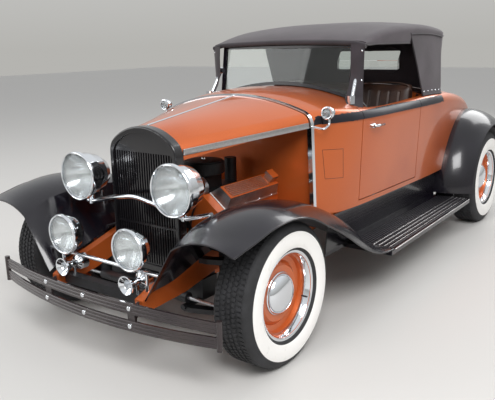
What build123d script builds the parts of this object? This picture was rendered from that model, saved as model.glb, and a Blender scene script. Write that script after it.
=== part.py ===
from build123d import *
import os
from math import atan2, pi, tan


# A 1929-style two-seat roadster built as a street rod: canvas top, open engine bay with a
# V8, wide whitewall tyres on steel wheels, ribbed two-bar bumpers.
# Millimetres. The front faces -Y, the car's left is +X, the ground is Z = 0.

# Driving dimensions of the whole car
wheelbase = 2864.0
front_overhang = 520.0
rear_overhang = 800.0
overall_length = front_overhang + wheelbase + rear_overhang
front_axle_y = front_overhang - overall_length / 2
rear_axle_y = front_axle_y + wheelbase

# Wheels and tyres
front_tyre_radius = 333.0
rear_tyre_radius = 357.0
front_tyre_width = 205.0
rear_tyre_width = 213.0
front_wheel_x = 692.0
rear_wheel_x = 682.0
rim_lip_radius = 215.0
rim_seat_radius = 198.0
rim_wall = 7.0
hub_bore_radius = 20.2
spindle_radius = 20.0
hub_radius = 62.0
hub_inner = 66.0
rotor_radius = 132.0
rotor_thickness = 14.0
cap_radius = 96.0

# Steering and front suspension
kingpin_x = 585.0
lower_arm_z = 195.0
upper_arm_z = 450.0
arm_thickness = 24.0
arm_pivot_x = 262.0
steer_arm_length = 140.0
steer_arm_set = 40.0
tie_rod_z = 262.0
tie_rod_radius = 9.0
rack_radius = 26.0
coil_x = 432.0
coil_radius = 42.0

# Frame
rail_thickness = 48.0
rail_depth = 112.0
horn_half_width = 312.0
rail_front_half_width = 352.0
rail_rear_half_width = 412.0
rail_top_z = 492.0
horn_front = -445.0

# Body shell: the outer skin follows these sections, the wall is a whole door thick
wall = 42.0
panel_gap = 6.0
cowl_front = 660.0
door_front = 1020.0
door_rear = 1798.0
door_sill_gap_z = 534.0
cockpit_front = 1142.0
cockpit_rear = 1985.0
cockpit_half_width = 572.0
body_bottom_z = 500.0
belt_top_z = 1043.0
belt_bottom_z = 1002.0
belt_proud = 6.0
bell_recess_radius = 178.0
crank_z = 380.0
wheelhouse_radius = 425.0
wheelhouse_x = 548.0
lid_front = 2440.0
lid_rear = 3010.0
lid_half_width = 330.0

# Sheet metal
fender_sheet = 6.0
hood_sheet = 4.0
hinge_rod_radius = 5.2
shell_front = -104.0
shell_rear = -52.0
shell_half_width = 227.0
shell_bottom_z = 335.0
shell_crown_side_z = 972.0
shell_top_z = 1052.0
shell_corner = 36.0
shell_wall = 26.0
insert_z = 925.0
grille_bar_count = 23
grille_bar_width = 7.0

# Running boards
board_top_z = 296.0
board_thickness = 30.0
board_inner_x = 552.0
board_front_x = 848.0
board_rear_x = 818.0
board_front = 930.0
board_rear = 2330.0

# Rear fenders turn about a point a little below and ahead of the axle
rear_arch_y = -20.0
rear_arch_z = 310.0
rear_arch_crest = 560.0
rear_arch_lip = 470.0
rear_crest_x = 705.0
rear_lip_x = 820.0
rear_fender_inner_x = 480.0

# Bumpers
bumper_half_width = 726.0
bumper_bow = 84.0
bumper_upper_z = 326.0
bumper_lower_z = 262.0
bumper_rib_radius = 7.5
bumper_rib_pitch = 16.5
bumper_spread = 10.0

# Lamps
headlamp_x = 318.0
headlamp_y = -243.0
headlamp_z = 801.0
headlamp_radius = 122.0
headlamp_depth = 190.0
fog_x = 223.0
fog_y = -433.0
fog_z = 563.0
fog_radius = 96.0
fog_depth = 105.0
lamp_bar_radius = 11.0
lamp_bar_y = -165.0

# Windshield and top
windshield_y = 1128.0
windshield_tilt = 8.0
windshield_half_width = 484.0
windshield_top_z = 1416.0
windshield_bottom_z = 1166.0
windshield_corner_z = 1092.0
windshield_rail = 24.0
glass_thickness = 6.0
top_sheet = 12.0
top_header_z = 1412.0
top_peak_z = 1592.0
top_window_rear = 1924.0
top_rear = 2385.0

seat_clearance = 0.3
running_clearance = 0.3


def at_front(value):
    """Y of a place measured back from the front axle."""
    return front_axle_y + value


def at_rear(value):
    """Y of a place measured back from the rear axle."""
    return rear_axle_y + value


def block(x0, x1, y0, y1, z0, z1):
    """A box between two corners."""
    corner = Pos((x0 + x1) / 2, (y0 + y1) / 2, (z0 + z1) / 2)
    return corner * Box(x1 - x0, y1 - y0, z1 - z0)


def rod(start, end, radius):
    """A round bar from one point to another."""
    a = Vector(*start)
    b = Vector(*end)
    plane = Plane(origin=a, z_dir=(b - a).normalized())
    return extrude(plane * Circle(radius), (b - a).length)


def cone(start, end, radius_start, radius_end):
    """A tapered round bar."""
    a = Vector(*start)
    b = Vector(*end)
    length = (b - a).length
    plane = Plane(origin=(a + b) / 2, z_dir=(b - a).normalized())
    return plane * Cone(radius_start, radius_end, length)


def pipe(points, radii, radius):
    """A round tube along straight runs joined by arcs."""
    path = FilletPolyline(*points, radius=radii)
    start = Plane(origin=path @ 0, z_dir=path % 0)
    return sweep(start * Circle(radius), path=path)


def turned_y(profile, x, y, z):
    """Revolve (radius, distance) points about a line along Y through x, z."""
    points = [(radius, distance) for radius, distance in profile]
    face = make_face(Polyline(*[(r, d, 0) for r, d in points], close=True))
    ring = revolve(face, Axis.Y, 360)
    return Pos(x, y, z) * ring


def turned_x(profile, x, y, z):
    """Revolve (distance, radius) points about a line along X through y, z."""
    face = make_face(Polyline(*[(d, r, 0) for d, r in profile], close=True))
    ring = revolve(face, Axis.X, 360)
    return Pos(x, y, z) * ring


def side_profile(points, x0, x1):
    """Extrude a closed outline of (y, z) points across the car from x0 to x1."""
    face = make_face(Polyline(*[(x0, y, z) for y, z in points], close=True))
    return extrude(face, x1 - x0, dir=(1, 0, 0))


def plan_profile(points, z0, z1):
    """Extrude a closed outline of (x, y) points up from z0 to z1."""
    face = make_face(Polyline(*[(x, y, z0) for x, y in points], close=True))
    return extrude(face, z1 - z0, dir=(0, 0, 1))


def mirrored(shape):
    """The same piece on the car's other side."""
    return mirror(shape, about=Plane.YZ)


def both(shape):
    """A left and a right piece."""
    return [shape, mirrored(shape)]


def save(node, *shapes):
    """Write the solids of one node to its STEP file."""
    solids = []
    for shape in shapes:
        solids += list(shape.solids())
    export_step(Compound(children=solids), f"parts/{node}.step")


# Outer skin of the body

# y, half width at the sill, half width at the belt, height at the crown's edge and at its top
body_stations = [
    (at_front(cowl_front), 520, 500, 1068, 1146),
    (at_front(door_front), 590, 608, 1064, 1172),
    (at_front(door_rear), 612, 634, 1056, 1132),
    (at_rear(-500), 606, 622, 1050, 1108),
    (at_rear(0), 548, 566, 984, 1046),
    (at_rear(250), 500, 520, 906, 966),
    (at_rear(480), 442, 458, 716, 776),
]
shoulder_width = 50.0


def body_section(station, inset, y):
    """Sides leaning in or out, a tangent shoulder and a crowned top, closed below."""
    half_sill, half_belt, z_edge, z_crown = station[1:]
    low = body_bottom_z + inset
    sill = half_sill - inset
    belt = half_belt - inset
    crown_x = belt - shoulder_width + inset / 2
    crown_slope = 2 * atan2(z_crown - z_edge, crown_x)
    z_side = z_edge - inset - (belt - crown_x) * tan(pi / 4 + crown_slope / 2)
    crown_left = (-crown_x, y, z_edge - inset)
    crown_right = (crown_x, y, z_edge - inset)
    lean = (belt - sill, 0, z_side - low)
    return Wire(
        [
            Edge.make_line((-sill, y, low), (sill, y, low)),
            Edge.make_line((sill, y, low), (belt, y, z_side)),
            Edge.make_tangent_arc((belt, y, z_side), lean, crown_right),
            Edge.make_three_point_arc(crown_right, (0, y, z_crown - inset), crown_left),
            Edge.make_tangent_arc((-belt, y, z_side), (-lean[0], 0, lean[2]), crown_left),
            Edge.make_line((-belt, y, z_side), (-sill, y, low)),
        ]
    )


def body_solid(inset, front_inset=0.0, rear_inset=0.0):
    """The body as a solid, its skin moved in by inset and its ends by their own."""
    wires = []
    last = len(body_stations) - 1
    for index, station in enumerate(body_stations):
        y = station[0]
        if index == 0:
            y += front_inset
        if index == last:
            y -= rear_inset
        wires.append(body_section(station, inset, y))
    return Solid.make_loft(wires, False)


body_outer = body_solid(0)
body_inner = body_solid(wall, wall, wall)
axle_line_x = 900.0


def wheelhouse(extra):
    """The space the rear tyres turn in."""
    near = rod(
        (wheelhouse_x - extra, rear_axle_y, rear_tyre_radius),
        (axle_line_x, rear_axle_y, rear_tyre_radius),
        wheelhouse_radius + extra,
    )
    return near + mirrored(near)


def bell_recess():
    """The recess in the toe board over the clutch housing."""
    start = (0, at_front(cowl_front - 60), crank_z)
    end = (0, at_front(cowl_front + 150), crank_z)
    return rod(start, end, bell_recess_radius)


# y, top and bottom of a frame rail in side view
rail_rear = wheelbase + 560.0
rail_side = [
    (horn_front, 352, 296),
    (horn_front + 90, 392, 300),
    (-190, 430, 318),
    (60, rail_top_z, rail_top_z - rail_depth),
    (2010, rail_top_z, rail_top_z - rail_depth),
    (2560, 628, 540),
    (3040, 628, 548),
    (rail_rear, 520, 452),
]
frame_clearance = 7.0


def frame_space():
    """The room under the floor for the frame's kick-up behind the seat."""
    top = [(at_front(y), z + frame_clearance) for y, z, low in rail_side[3:]]
    front = at_front(rail_side[3][0])
    rear = at_front(rail_rear)
    low = [(rear + 200, rail_side[-1][1] + frame_clearance), (rear + 200, 300), (front, 300)]
    reach = rail_rear_half_width + frame_clearance
    return side_profile(top + low, -reach, reach)


recess_sheet = 8.0
toe_board_z = 590.0


def floor_profile():
    """The room above the floor: a toe board over the clutch housing, a step up behind the seat."""
    rise = frame_clearance + recess_sheet
    front = at_front(cowl_front) - 50
    rear = at_front(rail_rear) + 300
    kick = at_front(rail_side[4][0])
    low = [(front, toe_board_z), (front + 230, toe_board_z), (front + 270, 400), (kick, 400)]
    back = [(kick, rail_top_z + rise)] + [(at_front(y), z + rise) for y, z, under in rail_side[5:7]]
    back += [(rear, rail_side[-1][1] + rise), (rear, 1500), (front, 1500)]
    return side_profile(low + back, -axle_line_x, axle_line_x)


skin_space = body_outer - wheelhouse(0) - bell_recess() - frame_space()
cabin_space = (body_inner & floor_profile()) - wheelhouse(recess_sheet)
shell = skin_space - cabin_space

# The raised moulding along the belt, in one length for each panel
moulding_front = cowl_front + 50.0
moulding_rear = 2105.0
moulding = body_solid(-belt_proud) - body_outer


def moulding_length(y0, y1):
    return moulding & block(0, axle_line_x, at_front(y0), at_front(y1), belt_bottom_z, belt_top_z)


# Cockpit and rumble openings
cockpit_cut = block(
    -cockpit_half_width,
    cockpit_half_width,
    at_front(cockpit_front),
    at_front(cockpit_rear),
    belt_bottom_z - 60,
    top_peak_z,
)
lid_cut = block(-lid_half_width, lid_half_width, at_front(lid_front), at_front(lid_rear), 700, 1400)
# The lid turns on two pins at its rear edge, each held by a lug on the deck
lid_pin_radius = 4.0
lid_barrel_radius = 9.0
lid_pin_x0 = 214.0
lid_pin_x1 = 286.0
lid_pin_z = 1003.0
lid_pin_y = at_front(lid_rear) - panel_gap / 2
lug_width = 10.0
lug_reach = 22.0


def lid_hinge_part(x0, x1, y0, y1, hole_radius):
    """A barrel on the pin's line with a foot that runs down to the skin."""
    foot = block(x0, x1, y0, y1, lid_pin_z - 50, lid_pin_z)
    barrel = rod((x0, lid_pin_y, lid_pin_z), (x1, lid_pin_y, lid_pin_z), lid_barrel_radius)
    bore = rod((x0 - 1, lid_pin_y, lid_pin_z), (x1 + 1, lid_pin_y, lid_pin_z), hole_radius)
    return foot - cabin_space + barrel - bore


lid_barrel = lid_hinge_part(
    lid_pin_x0 + lug_width + running_clearance,
    lid_pin_x1 - lug_width - running_clearance,
    lid_pin_y - lug_reach,
    lid_pin_y - panel_gap / 2,
    lid_pin_radius + running_clearance,
)
lid_lugs = []
for lug_x in (lid_pin_x0, lid_pin_x1 - lug_width):
    lug_y0 = lid_pin_y + panel_gap / 2
    lug = lid_hinge_part(lug_x, lug_x + lug_width, lug_y0, lid_pin_y + lug_reach, lid_pin_radius)
    lid_lugs.append(lug)
lid_pin = rod((lid_pin_x0, lid_pin_y, lid_pin_z), (lid_pin_x1, lid_pin_y, lid_pin_z), lid_pin_radius)
lid_lugs.append(lid_pin)


def lid_pin_room(x0, x1):
    """Room round the pin's line for the other side's barrel."""
    room = rod((x0, lid_pin_y, lid_pin_z), (x1, lid_pin_y, lid_pin_z), lid_barrel_radius + 1)
    return room + mirrored(room)


lid_piece = shell & block(
    -lid_half_width + panel_gap,
    lid_half_width - panel_gap,
    at_front(lid_front) + panel_gap,
    at_front(lid_rear) - panel_gap,
    700,
    1400,
)
for lug_x in (lid_pin_x0, lid_pin_x1 - lug_width):
    lid_piece = lid_piece - lid_pin_room(lug_x - 1, lug_x + lug_width + running_clearance)
lid_piece = lid_piece + lid_barrel + mirrored(lid_barrel)
shell = shell - cockpit_cut - lid_cut - lid_pin_room(lid_pin_x0 + lug_width, lid_pin_x1 - lug_width)
for piece in lid_lugs:
    shell = shell + piece + mirrored(piece)

door_inner_x = 556.0
door_zone = block(
    door_inner_x, axle_line_x, at_front(door_front), at_front(door_rear), door_sill_gap_z - panel_gap, 1300
)
door_blank = shell & block(
    door_inner_x + panel_gap,
    axle_line_x,
    at_front(door_front) + panel_gap,
    at_front(door_rear) - panel_gap,
    door_sill_gap_z,
    1300,
)
shell = shell - door_zone - mirrored(door_zone)

# Door handle near the front edge, the hinges are at the rear
handle_y = 1108.0
handle_z = 955.0


def door_handle():
    boss = rod((585, at_front(handle_y), handle_z), (640, at_front(handle_y), handle_z), 13)
    lever = pipe(
        [
            (640, at_front(handle_y - 6), handle_z),
            (652, at_front(handle_y + 20), handle_z),
            (648, at_front(handle_y + 105), handle_z - 2),
        ],
        [14],
        8,
    )
    return boss + lever


door_moulding = moulding_length(door_front + panel_gap, door_rear - panel_gap)
door_left = [door_blank + door_handle(), door_moulding]

split_y = at_front(door_front)
cowl = shell & block(-axle_line_x, axle_line_x, at_front(cowl_front) - 10, split_y, 0, 1400)
cowl_top = shell & block(
    -door_inner_x, door_inner_x, split_y, at_front(cockpit_front) + 1, belt_bottom_z - 100, 1400
)
cowl = cowl + cowl_top
cowl_moulding = moulding_length(moulding_front, door_front)
tub_moulding = moulding_length(door_rear, moulding_rear)
body_tub = shell - block(-axle_line_x, axle_line_x, at_front(0), split_y, 0, 1400)
body_tub = body_tub - block(
    -door_inner_x, door_inner_x, split_y - 1, at_front(cockpit_front) + 1, belt_bottom_z - 100, 1400
)

# Bulkhead behind the seat
bulkhead_y = cockpit_rear + 40
bulkhead = block(-700, 700, at_front(bulkhead_y), at_front(bulkhead_y) + 18, 0, 1300) & cabin_space

# Hood: two panels on a rod along the centre line, the sides are left off
hood_front = shell_rear + 3.0
hood_rear = cowl_front - 34.0
# y, half width at the lower edge, height of that edge, edge and top of the crown
hood_stations = [
    (at_front(hood_front), 226, 925, 988, 1051),
    (at_front(hood_rear), 496, 990, 1064, 1142),
]
hood_corner = 42.0


def hood_section(station, inset):
    y, half, z_low, z_edge, z_crown = station
    x_out = half - inset
    crown_x = half - hood_corner - inset / 2
    z_in = z_edge - inset
    slope = 2 * atan2(z_crown - z_edge, crown_x)
    z_side = z_in - (x_out - crown_x) * tan(pi / 4 + slope / 2)
    return [(x_out, y, z_low), (x_out, y, z_side), (crown_x, y, z_in), (0, y, z_crown - inset)]


def hood_wire(station):
    """One closed section: outer skin out from the centre, back along the inner skin."""
    outer = hood_section(station, 0)
    inner = hood_section(station, hood_sheet)
    y = station[0]
    crown_out = Edge.make_three_point_arc((-outer[2][0], y, outer[2][2]), outer[3], outer[2])
    crown_in = Edge.make_three_point_arc((-inner[2][0], y, inner[2][2]), inner[3], inner[2])
    cut = 0.5 + panel_gap / 2 / crown_out.length
    crown_out = crown_out.trim(cut, 1.0)
    crown_in = crown_in.trim(cut, 1.0)
    up = (0, 0, 1)
    return Wire(
        [
            crown_out,
            Edge.make_tangent_arc(outer[1], up, outer[2]),
            Edge.make_line(outer[1], outer[0]),
            Edge.make_line(outer[0], inner[0]),
            Edge.make_line(inner[0], inner[1]),
            Edge.make_tangent_arc(inner[1], up, inner[2]),
            crown_in,
            Edge.make_line(crown_in @ 0, crown_out @ 0),
        ]
    )


hood_left = Solid.make_loft([hood_wire(station) for station in hood_stations], True)
hinge_front = (0, at_front(hood_front) - 2.5, hood_stations[0][4])
hinge_rear = (0, at_front(hood_rear) + 2.5, hood_stations[1][4])
hinge_line = rod(hinge_front, hinge_rear, hinge_rod_radius + 1.5)
hood_left = hood_left - hinge_line


# Radiator shell, grille and core
def arch_wire(inset, y, z_low):
    half = shell_half_width - inset
    crown_x = half - shell_corner + inset / 3
    z_edge = shell_crown_side_z + 14 - inset
    z_top = shell_top_z - inset
    slope = 2 * atan2(z_top - z_edge, crown_x)
    z_side = z_edge - (half - crown_x) * tan(pi / 4 + slope / 2)
    return Wire(
        [
            Edge.make_line((-half, y, z_low), (half, y, z_low)),
            Edge.make_line((half, y, z_low), (half, y, z_side)),
            Edge.make_tangent_arc((half, y, z_side), (0, 0, 1), (crown_x, y, z_edge)),
            Edge.make_three_point_arc((crown_x, y, z_edge), (0, y, z_top), (-crown_x, y, z_edge)),
            Edge.make_tangent_arc((-half, y, z_side), (0, 0, 1), (-crown_x, y, z_edge)),
            Edge.make_line((-half, y, z_side), (-half, y, z_low)),
        ]
    )


def arch_solid(inset, y0, y1, z_low):
    return extrude(Face(arch_wire(inset, y1, z_low)), y1 - y0, dir=(0, -1, 0))


shell_y0 = at_front(shell_front)
shell_y1 = at_front(shell_rear)
radiator_shell = arch_solid(0, shell_y0, shell_y1, shell_bottom_z)
front_edges = radiator_shell.edges().filter_by(lambda edge: abs(edge.center().Y - shell_y0) < 1)
round_edges = front_edges.filter_by(lambda edge: edge.center().Z > shell_bottom_z + 5)
radiator_shell = fillet(round_edges, 9)
shell_floor_z = shell_bottom_z + shell_wall
radiator_shell = radiator_shell - arch_solid(shell_wall, shell_y0 - 20, shell_y1 + 20, shell_floor_z)

grille_y0 = shell_y0 + 8
grille_depth = 12.0
grille_half = shell_half_width - shell_wall
grille_pitch = 2 * grille_half / (grille_bar_count + 1)
grille_slot = grille_pitch - grille_bar_width
grille = arch_solid(shell_wall, grille_y0, grille_y0 + grille_depth, shell_bottom_z + shell_wall)
cross_bar_z = 560.0
cross_bar_height = 10.0
for index in range(grille_bar_count + 1):
    slot_x = -grille_half + grille_pitch * (index + 0.5)
    for low, high in ((shell_floor_z + 8, cross_bar_z), (cross_bar_z + cross_bar_height, insert_z)):
        slot_y1 = grille_y0 + grille_depth + 5
        half_slot = grille_slot / 2
        grille = grille - block(slot_x - half_slot, slot_x + half_slot, grille_y0 - 5, slot_y1, low, high)
core_y0 = grille_y0 + grille_depth
core_depth = 52.0
radiator_core = arch_solid(shell_wall + seat_clearance, core_y0, core_y0 + core_depth, shell_floor_z)


# Rods between the radiator and the cowl: the hood's hinge rod and two stays
stay_radius = 6.0
stay_front = (205, at_front(shell_rear) - 4, 905)
stay_rear = (330, at_front(cowl_front) + 4, 985)
stay = rod(stay_front, stay_rear, stay_radius) - radiator_shell - radiator_core - body_outer
hood_hinge = rod(hinge_front, hinge_rear, hinge_rod_radius) - radiator_shell
hood_stays = [hood_hinge] + both(stay)

# Frame rails


def rail_solid():
    top = [(at_front(y), z) for y, z, low in rail_side]
    bottom = [(at_front(y), low) for y, z, low in reversed(rail_side)]
    side = side_profile(top + bottom, 200, 500)
    plan = [
        (horn_half_width, at_front(horn_front) - 1),
        (rail_front_half_width, at_front(60)),
        (rail_rear_half_width, at_front(700)),
        (rail_rear_half_width, at_front(rail_rear) + 1),
    ]
    inner = [(x - rail_thickness, y) for x, y in reversed(plan)]
    return side & plan_profile(plan + inner, 200, 700)


rail = rail_solid()
frame_rails = both(rail)

# Cross members between the rails: y, width along y, bottom, top
cross_members = [
    (-385, 46, 306, 352),
    (-8, 110, 236, 331),
    (1250, 80, 294, 326),
    (2080, 60, 430, 486),
    (3370, 50, 466, 516),
]
front_member = 1
gearbox_member = 2
leg_inner_x = 332.0
leg_top_z = 430.0


def rail_inside(y):
    """Distance from the centre line to a rail's inner face."""
    table = [
        (horn_front, horn_half_width),
        (60, rail_front_half_width),
        (700, rail_rear_half_width),
        (rail_rear, rail_rear_half_width),
    ]
    for (y0, x0), (y1, x1) in zip(table, table[1:]):
        if y0 <= y <= y1:
            return x0 + (x1 - x0) * (y - y0) / (y1 - y0) - rail_thickness
    return rail_rear_half_width - rail_thickness


rails = rail + mirrored(rail)
frame_cross = []
for y, width, low, high in cross_members:
    reach = rail_inside(y) + rail_thickness / 2
    member = block(-reach, reach, at_front(y - width / 2), at_front(y + width / 2), low, high)
    frame_cross.append(member - rails)
# Two of the members hang below the rails on legs
for index in (front_member, gearbox_member):
    y, width, low, high = cross_members[index]
    inner = leg_inner_x if index == gearbox_member else rail_inside(y) - 50
    leg = block(inner, rail_inside(y) + 12, at_front(y - width / 2), at_front(y + width / 2), low, leg_top_z)
    frame_cross[index] = frame_cross[index] + leg + mirrored(leg) - rails

# Bumpers: two ribbed bars bowed forwards, closer together at their ends
bumper_back = 5.0


def bumper_bar(z, spread, reach, bow):
    path = Edge.make_three_point_arc((-reach, bow, z), (0, 0, z + spread), (reach, bow, z))
    profile = Rectangle(bumper_rib_pitch * 3, bumper_back * 2)
    for index in (-1, 0, 1):
        profile = profile + Pos(index * bumper_rib_pitch, 0) * Circle(bumper_rib_radius)
    start = Plane(origin=path @ 0, z_dir=path % 0, x_dir=(0, 0, 1))
    return sweep(start * profile, path=path)


def bumper(bracket_x, bracket_end_y, bracket_z):
    """Two bars, their end posts, and the two irons back to the frame."""
    post_radius = 13.0
    reach = bumper_half_width - post_radius - seat_clearance
    upper = bumper_bar(bumper_upper_z, bumper_spread, reach, bumper_bow)
    lower = bumper_bar(bumper_lower_z, -bumper_spread, reach, bumper_bow)
    low = bumper_lower_z - bumper_rib_pitch * 2
    high = bumper_upper_z + bumper_rib_pitch * 2
    post_y = bumper_bow + 2
    post = rod((bumper_half_width - 2, post_y, low), (bumper_half_width - 2, post_y, high), post_radius)
    plate_y = bumper_bow * (bracket_x / bumper_half_width) ** 2 + bumper_back
    plate = block(bracket_x - 22, bracket_x + 22, plate_y, plate_y + 14, low + 14, high - 14)
    iron = side_profile(
        [
            (plate_y + 10, bumper_lower_z - 8),
            (plate_y + 10, bumper_upper_z + 8),
            (bracket_end_y, bracket_z + 24),
            (bracket_end_y, bracket_z - 24),
        ],
        bracket_x - 5,
        bracket_x + 5,
    )
    bracket = plate + iron - upper - lower
    return [upper, lower] + both(post) + both(bracket)


bumper_face = bumper_rib_radius
bumper_mid_y = -overall_length / 2 + bumper_face
horn_gap = at_front(horn_front) - bumper_mid_y
front_pieces = bumper(horn_half_width - rail_thickness / 2, horn_gap, 322)
front_bumper = [Pos(0, bumper_mid_y, 0) * piece for piece in front_pieces]
rear_gap = overall_length / 2 - bumper_face - at_front(rail_rear)
rear_pieces = bumper(rail_rear_half_width - rail_thickness / 2, rear_gap, 486)
rear_place = Pos(0, overall_length / 2 - bumper_face, 0) * Rot(0, 0, 180)
rear_bumper = [rear_place * piece for piece in rear_pieces]

# Front fenders: y, inner edge x z, crest x z, outer lip x z, foot x z
front_fender_stations = [
    (-448, 500, 620, 684, 676, 826, 644, 330, 360),
    (-340, 494, 662, 688, 706, 834, 670, 336, 398),
    (-150, 482, 698, 690, 748, 836, 704, 346, 448),
    (60, 480, 692, 690, 736, 834, 686, 360, 494),
    (250, 490, 656, 690, 690, 833, 602, 382, 496),
    (420, 508, 594, 690, 626, 833, 512, 400, 500),
    (600, 528, 506, 690, 534, 832, 404, 470, 470),
    (780, 540, 400, 692, 408, 834, 322, 520, 388),
    (880, 546, 336, 696, 341, 838, 300, 536, 326),
    (965, 550, 303, 700, 304, 842, 294, 545, 298),
]


def fender_wire(station):
    y, inner_x, inner_z, crest_x, crest_z, lip_x, lip_z, foot_x, foot_z = station
    y = at_front(y)
    t = fender_sheet
    lip_low = (lip_x - t, y, lip_z - t / 2)
    inner_low = (inner_x - t / 3, y, inner_z - t * 1.3)
    return Wire(
        [
            Edge.make_line((foot_x, y, foot_z), (inner_x, y, inner_z)),
            Edge.make_three_point_arc((inner_x, y, inner_z), (crest_x, y, crest_z), (lip_x, y, lip_z)),
            Edge.make_line((lip_x, y, lip_z), lip_low),
            Edge.make_three_point_arc(lip_low, (crest_x, y, crest_z - t), inner_low),
            Edge.make_line(inner_low, (foot_x + t, y, foot_z - t / 2)),
            Edge.make_line((foot_x + t, y, foot_z - t / 2), (foot_x, y, foot_z)),
        ]
    )


front_fender = Solid.make_loft([fender_wire(station) for station in front_fender_stations], False)
front_fender = front_fender - rail
front_fenders = both(front_fender)

# Rear fenders
rear_arch_center = (0, at_rear(rear_arch_y), rear_arch_z)


def rear_fender_solid():
    t = fender_sheet
    inner_r = rear_arch_crest - 6
    outer = Edge.make_three_point_arc(
        (rear_fender_inner_x, inner_r, 0), (rear_crest_x, rear_arch_crest, 0), (rear_lip_x, rear_arch_lip, 0)
    )
    under = Edge.make_three_point_arc(
        (rear_lip_x - t, rear_arch_lip - t / 2, 0),
        (rear_crest_x - t / 3, rear_arch_crest - t, 0),
        (rear_fender_inner_x, inner_r - t, 0),
    )
    outline = Wire(
        [
            outer,
            Edge.make_line((rear_lip_x, rear_arch_lip, 0), (rear_lip_x - t, rear_arch_lip - t / 2, 0)),
            under,
            Edge.make_line((rear_fender_inner_x, inner_r - t, 0), (rear_fender_inner_x, inner_r, 0)),
        ]
    )
    arch = revolve(Face(outline), Axis.X, 176)
    arch = Rot(2, 0, 0) * arch
    return Pos(*rear_arch_center) * arch


rear_fender = rear_fender_solid() - body_outer
rear_fender = rear_fender - block(0, 530, -4000, 4000, 0, 2000)
rear_fender = rear_fender.solids().sort_by(lambda s: s.volume)[-1]
rear_fenders = both(rear_fender)

# Running boards with the splash aprons up to the sills
board = plan_profile(
    [
        (board_inner_x, at_front(board_front)),
        (board_front_x, at_front(board_front)),
        (board_rear_x, at_front(board_rear)),
        (board_inner_x, at_front(board_rear)),
    ],
    board_top_z - board_thickness,
    board_top_z,
)
# The board is stepped down where the front fender's end lies over it
fender_seat_y1 = at_front(front_fender_stations[-1][0]) + 1
board = board - block(
    board_inner_x - 1,
    board_front_x + 1,
    at_front(board_front) - 1,
    fender_seat_y1,
    board_top_z - 3,
    board_top_z + 1,
)
apron_outline = [
    (board_inner_x, board_top_z - board_thickness),
    (board_inner_x + 8, board_top_z),
    (board_inner_x + 8, board_top_z + 15),
    (board_inner_x + 16, board_top_z + 90),
    (board_inner_x + 22, body_bottom_z),
    (board_inner_x + 16, body_bottom_z),
    (board_inner_x + 8, board_top_z + 90),
    (board_inner_x, board_top_z),
]
apron_face = make_face(Polyline(*[(x, at_front(board_front - 230), z) for x, z in apron_outline], close=True))
apron = extrude(apron_face, board_rear - board_front + 200, dir=(0, 1, 0))
running_board = board + apron - front_fender - body_outer - rear_fender
running_board = running_board.solids().sort_by(lambda s: s.volume)[-1]
bracket_z = board_top_z - board_thickness
for y in (board_front + 200, board_rear - 260):
    arm = side_profile(
        [
            (at_front(y - 20), bracket_z - 16),
            (at_front(y + 20), bracket_z - 16),
            (at_front(y + 20), bracket_z),
            (at_front(y - 20), bracket_z),
        ],
        rail_rear_half_width - 20,
        board_inner_x + 160,
    )
    post = block(
        rail_rear_half_width - 20,
        rail_rear_half_width + 10,
        at_front(y - 20),
        at_front(y + 20),
        bracket_z - 16,
        rail_top_z - rail_depth,
    )
    running_board = running_board + arm + post
running_boards = both(running_board)


# Wheels and tyres
def tyre_profile(radius, width):
    """A closed casing from the rim seat to the tread."""
    half = width / 2
    bead = rim_seat_radius + 2
    profile = [
        (-half + 26, bead),
        (-half + 8, bead + 24),
        (-half, bead + (radius - bead) * 0.45),
        (-half + 5, radius - 34),
        (-half + 22, radius - 9),
        (-half + 48, radius - 1),
        (0, radius),
        (half - 48, radius - 1),
        (half - 22, radius - 9),
        (half - 5, radius - 34),
        (half, bead + (radius - bead) * 0.45),
        (half - 8, bead + 24),
        (half - 26, bead),
    ]
    return profile


def wheel_profile(width):
    """Steel wheel: rim barrel, dished disc, hub with its brake rotor and the domed cap."""
    half = width / 2 - 24
    seat = rim_seat_radius + 1.7
    return [
        (-half, rim_lip_radius - 4),
        (-half + 5, rim_lip_radius - 4),
        (-half + 8, seat),
        (half - 8, seat),
        (half - 5, rim_lip_radius),
        (half + 3, rim_lip_radius),
        (half + 1, seat - 8),
        (half - 12, seat - 12),
        (22, seat - 26),
        (16, 150),
        (34, 128),
        (30, cap_radius),
        (44, cap_radius - 4),
        (62, cap_radius * 0.72),
        (70, cap_radius * 0.38),
        (72, 0),
        (24, 0),
        (24, hub_bore_radius),
        (-hub_inner, hub_bore_radius),
        (-hub_inner, hub_radius - 12),
        (-58, hub_radius - 12),
        (-58, rotor_radius),
        (-58 + rotor_thickness, rotor_radius),
        (-58 + rotor_thickness, hub_radius),
        (12, hub_radius),
        (12, 118),
        (4, 150),
        (4, seat - 14),
        (-half + 10, seat - rim_wall),
        (-half, seat - rim_wall),
    ]


wheels = {}
for axle, side in (("front", "left"), ("front", "right"), ("rear", "left"), ("rear", "right")):
    front = axle == "front"
    radius = front_tyre_radius if front else rear_tyre_radius
    width = front_tyre_width if front else rear_tyre_width
    wheel_x = front_wheel_x if front else rear_wheel_x
    wheel_y = front_axle_y if front else rear_axle_y
    tyre = turned_x(tyre_profile(radius, width), wheel_x, wheel_y, radius)
    wheel = turned_x(wheel_profile(width), wheel_x, wheel_y, radius)
    tyre = tyre - wheel
    if side == "right":
        tyre = mirrored(tyre)
        wheel = mirrored(wheel)
    wheels[f"tyre_{axle}_{side}"] = tyre
    wheels[f"wheel_{axle}_{side}"] = wheel

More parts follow.
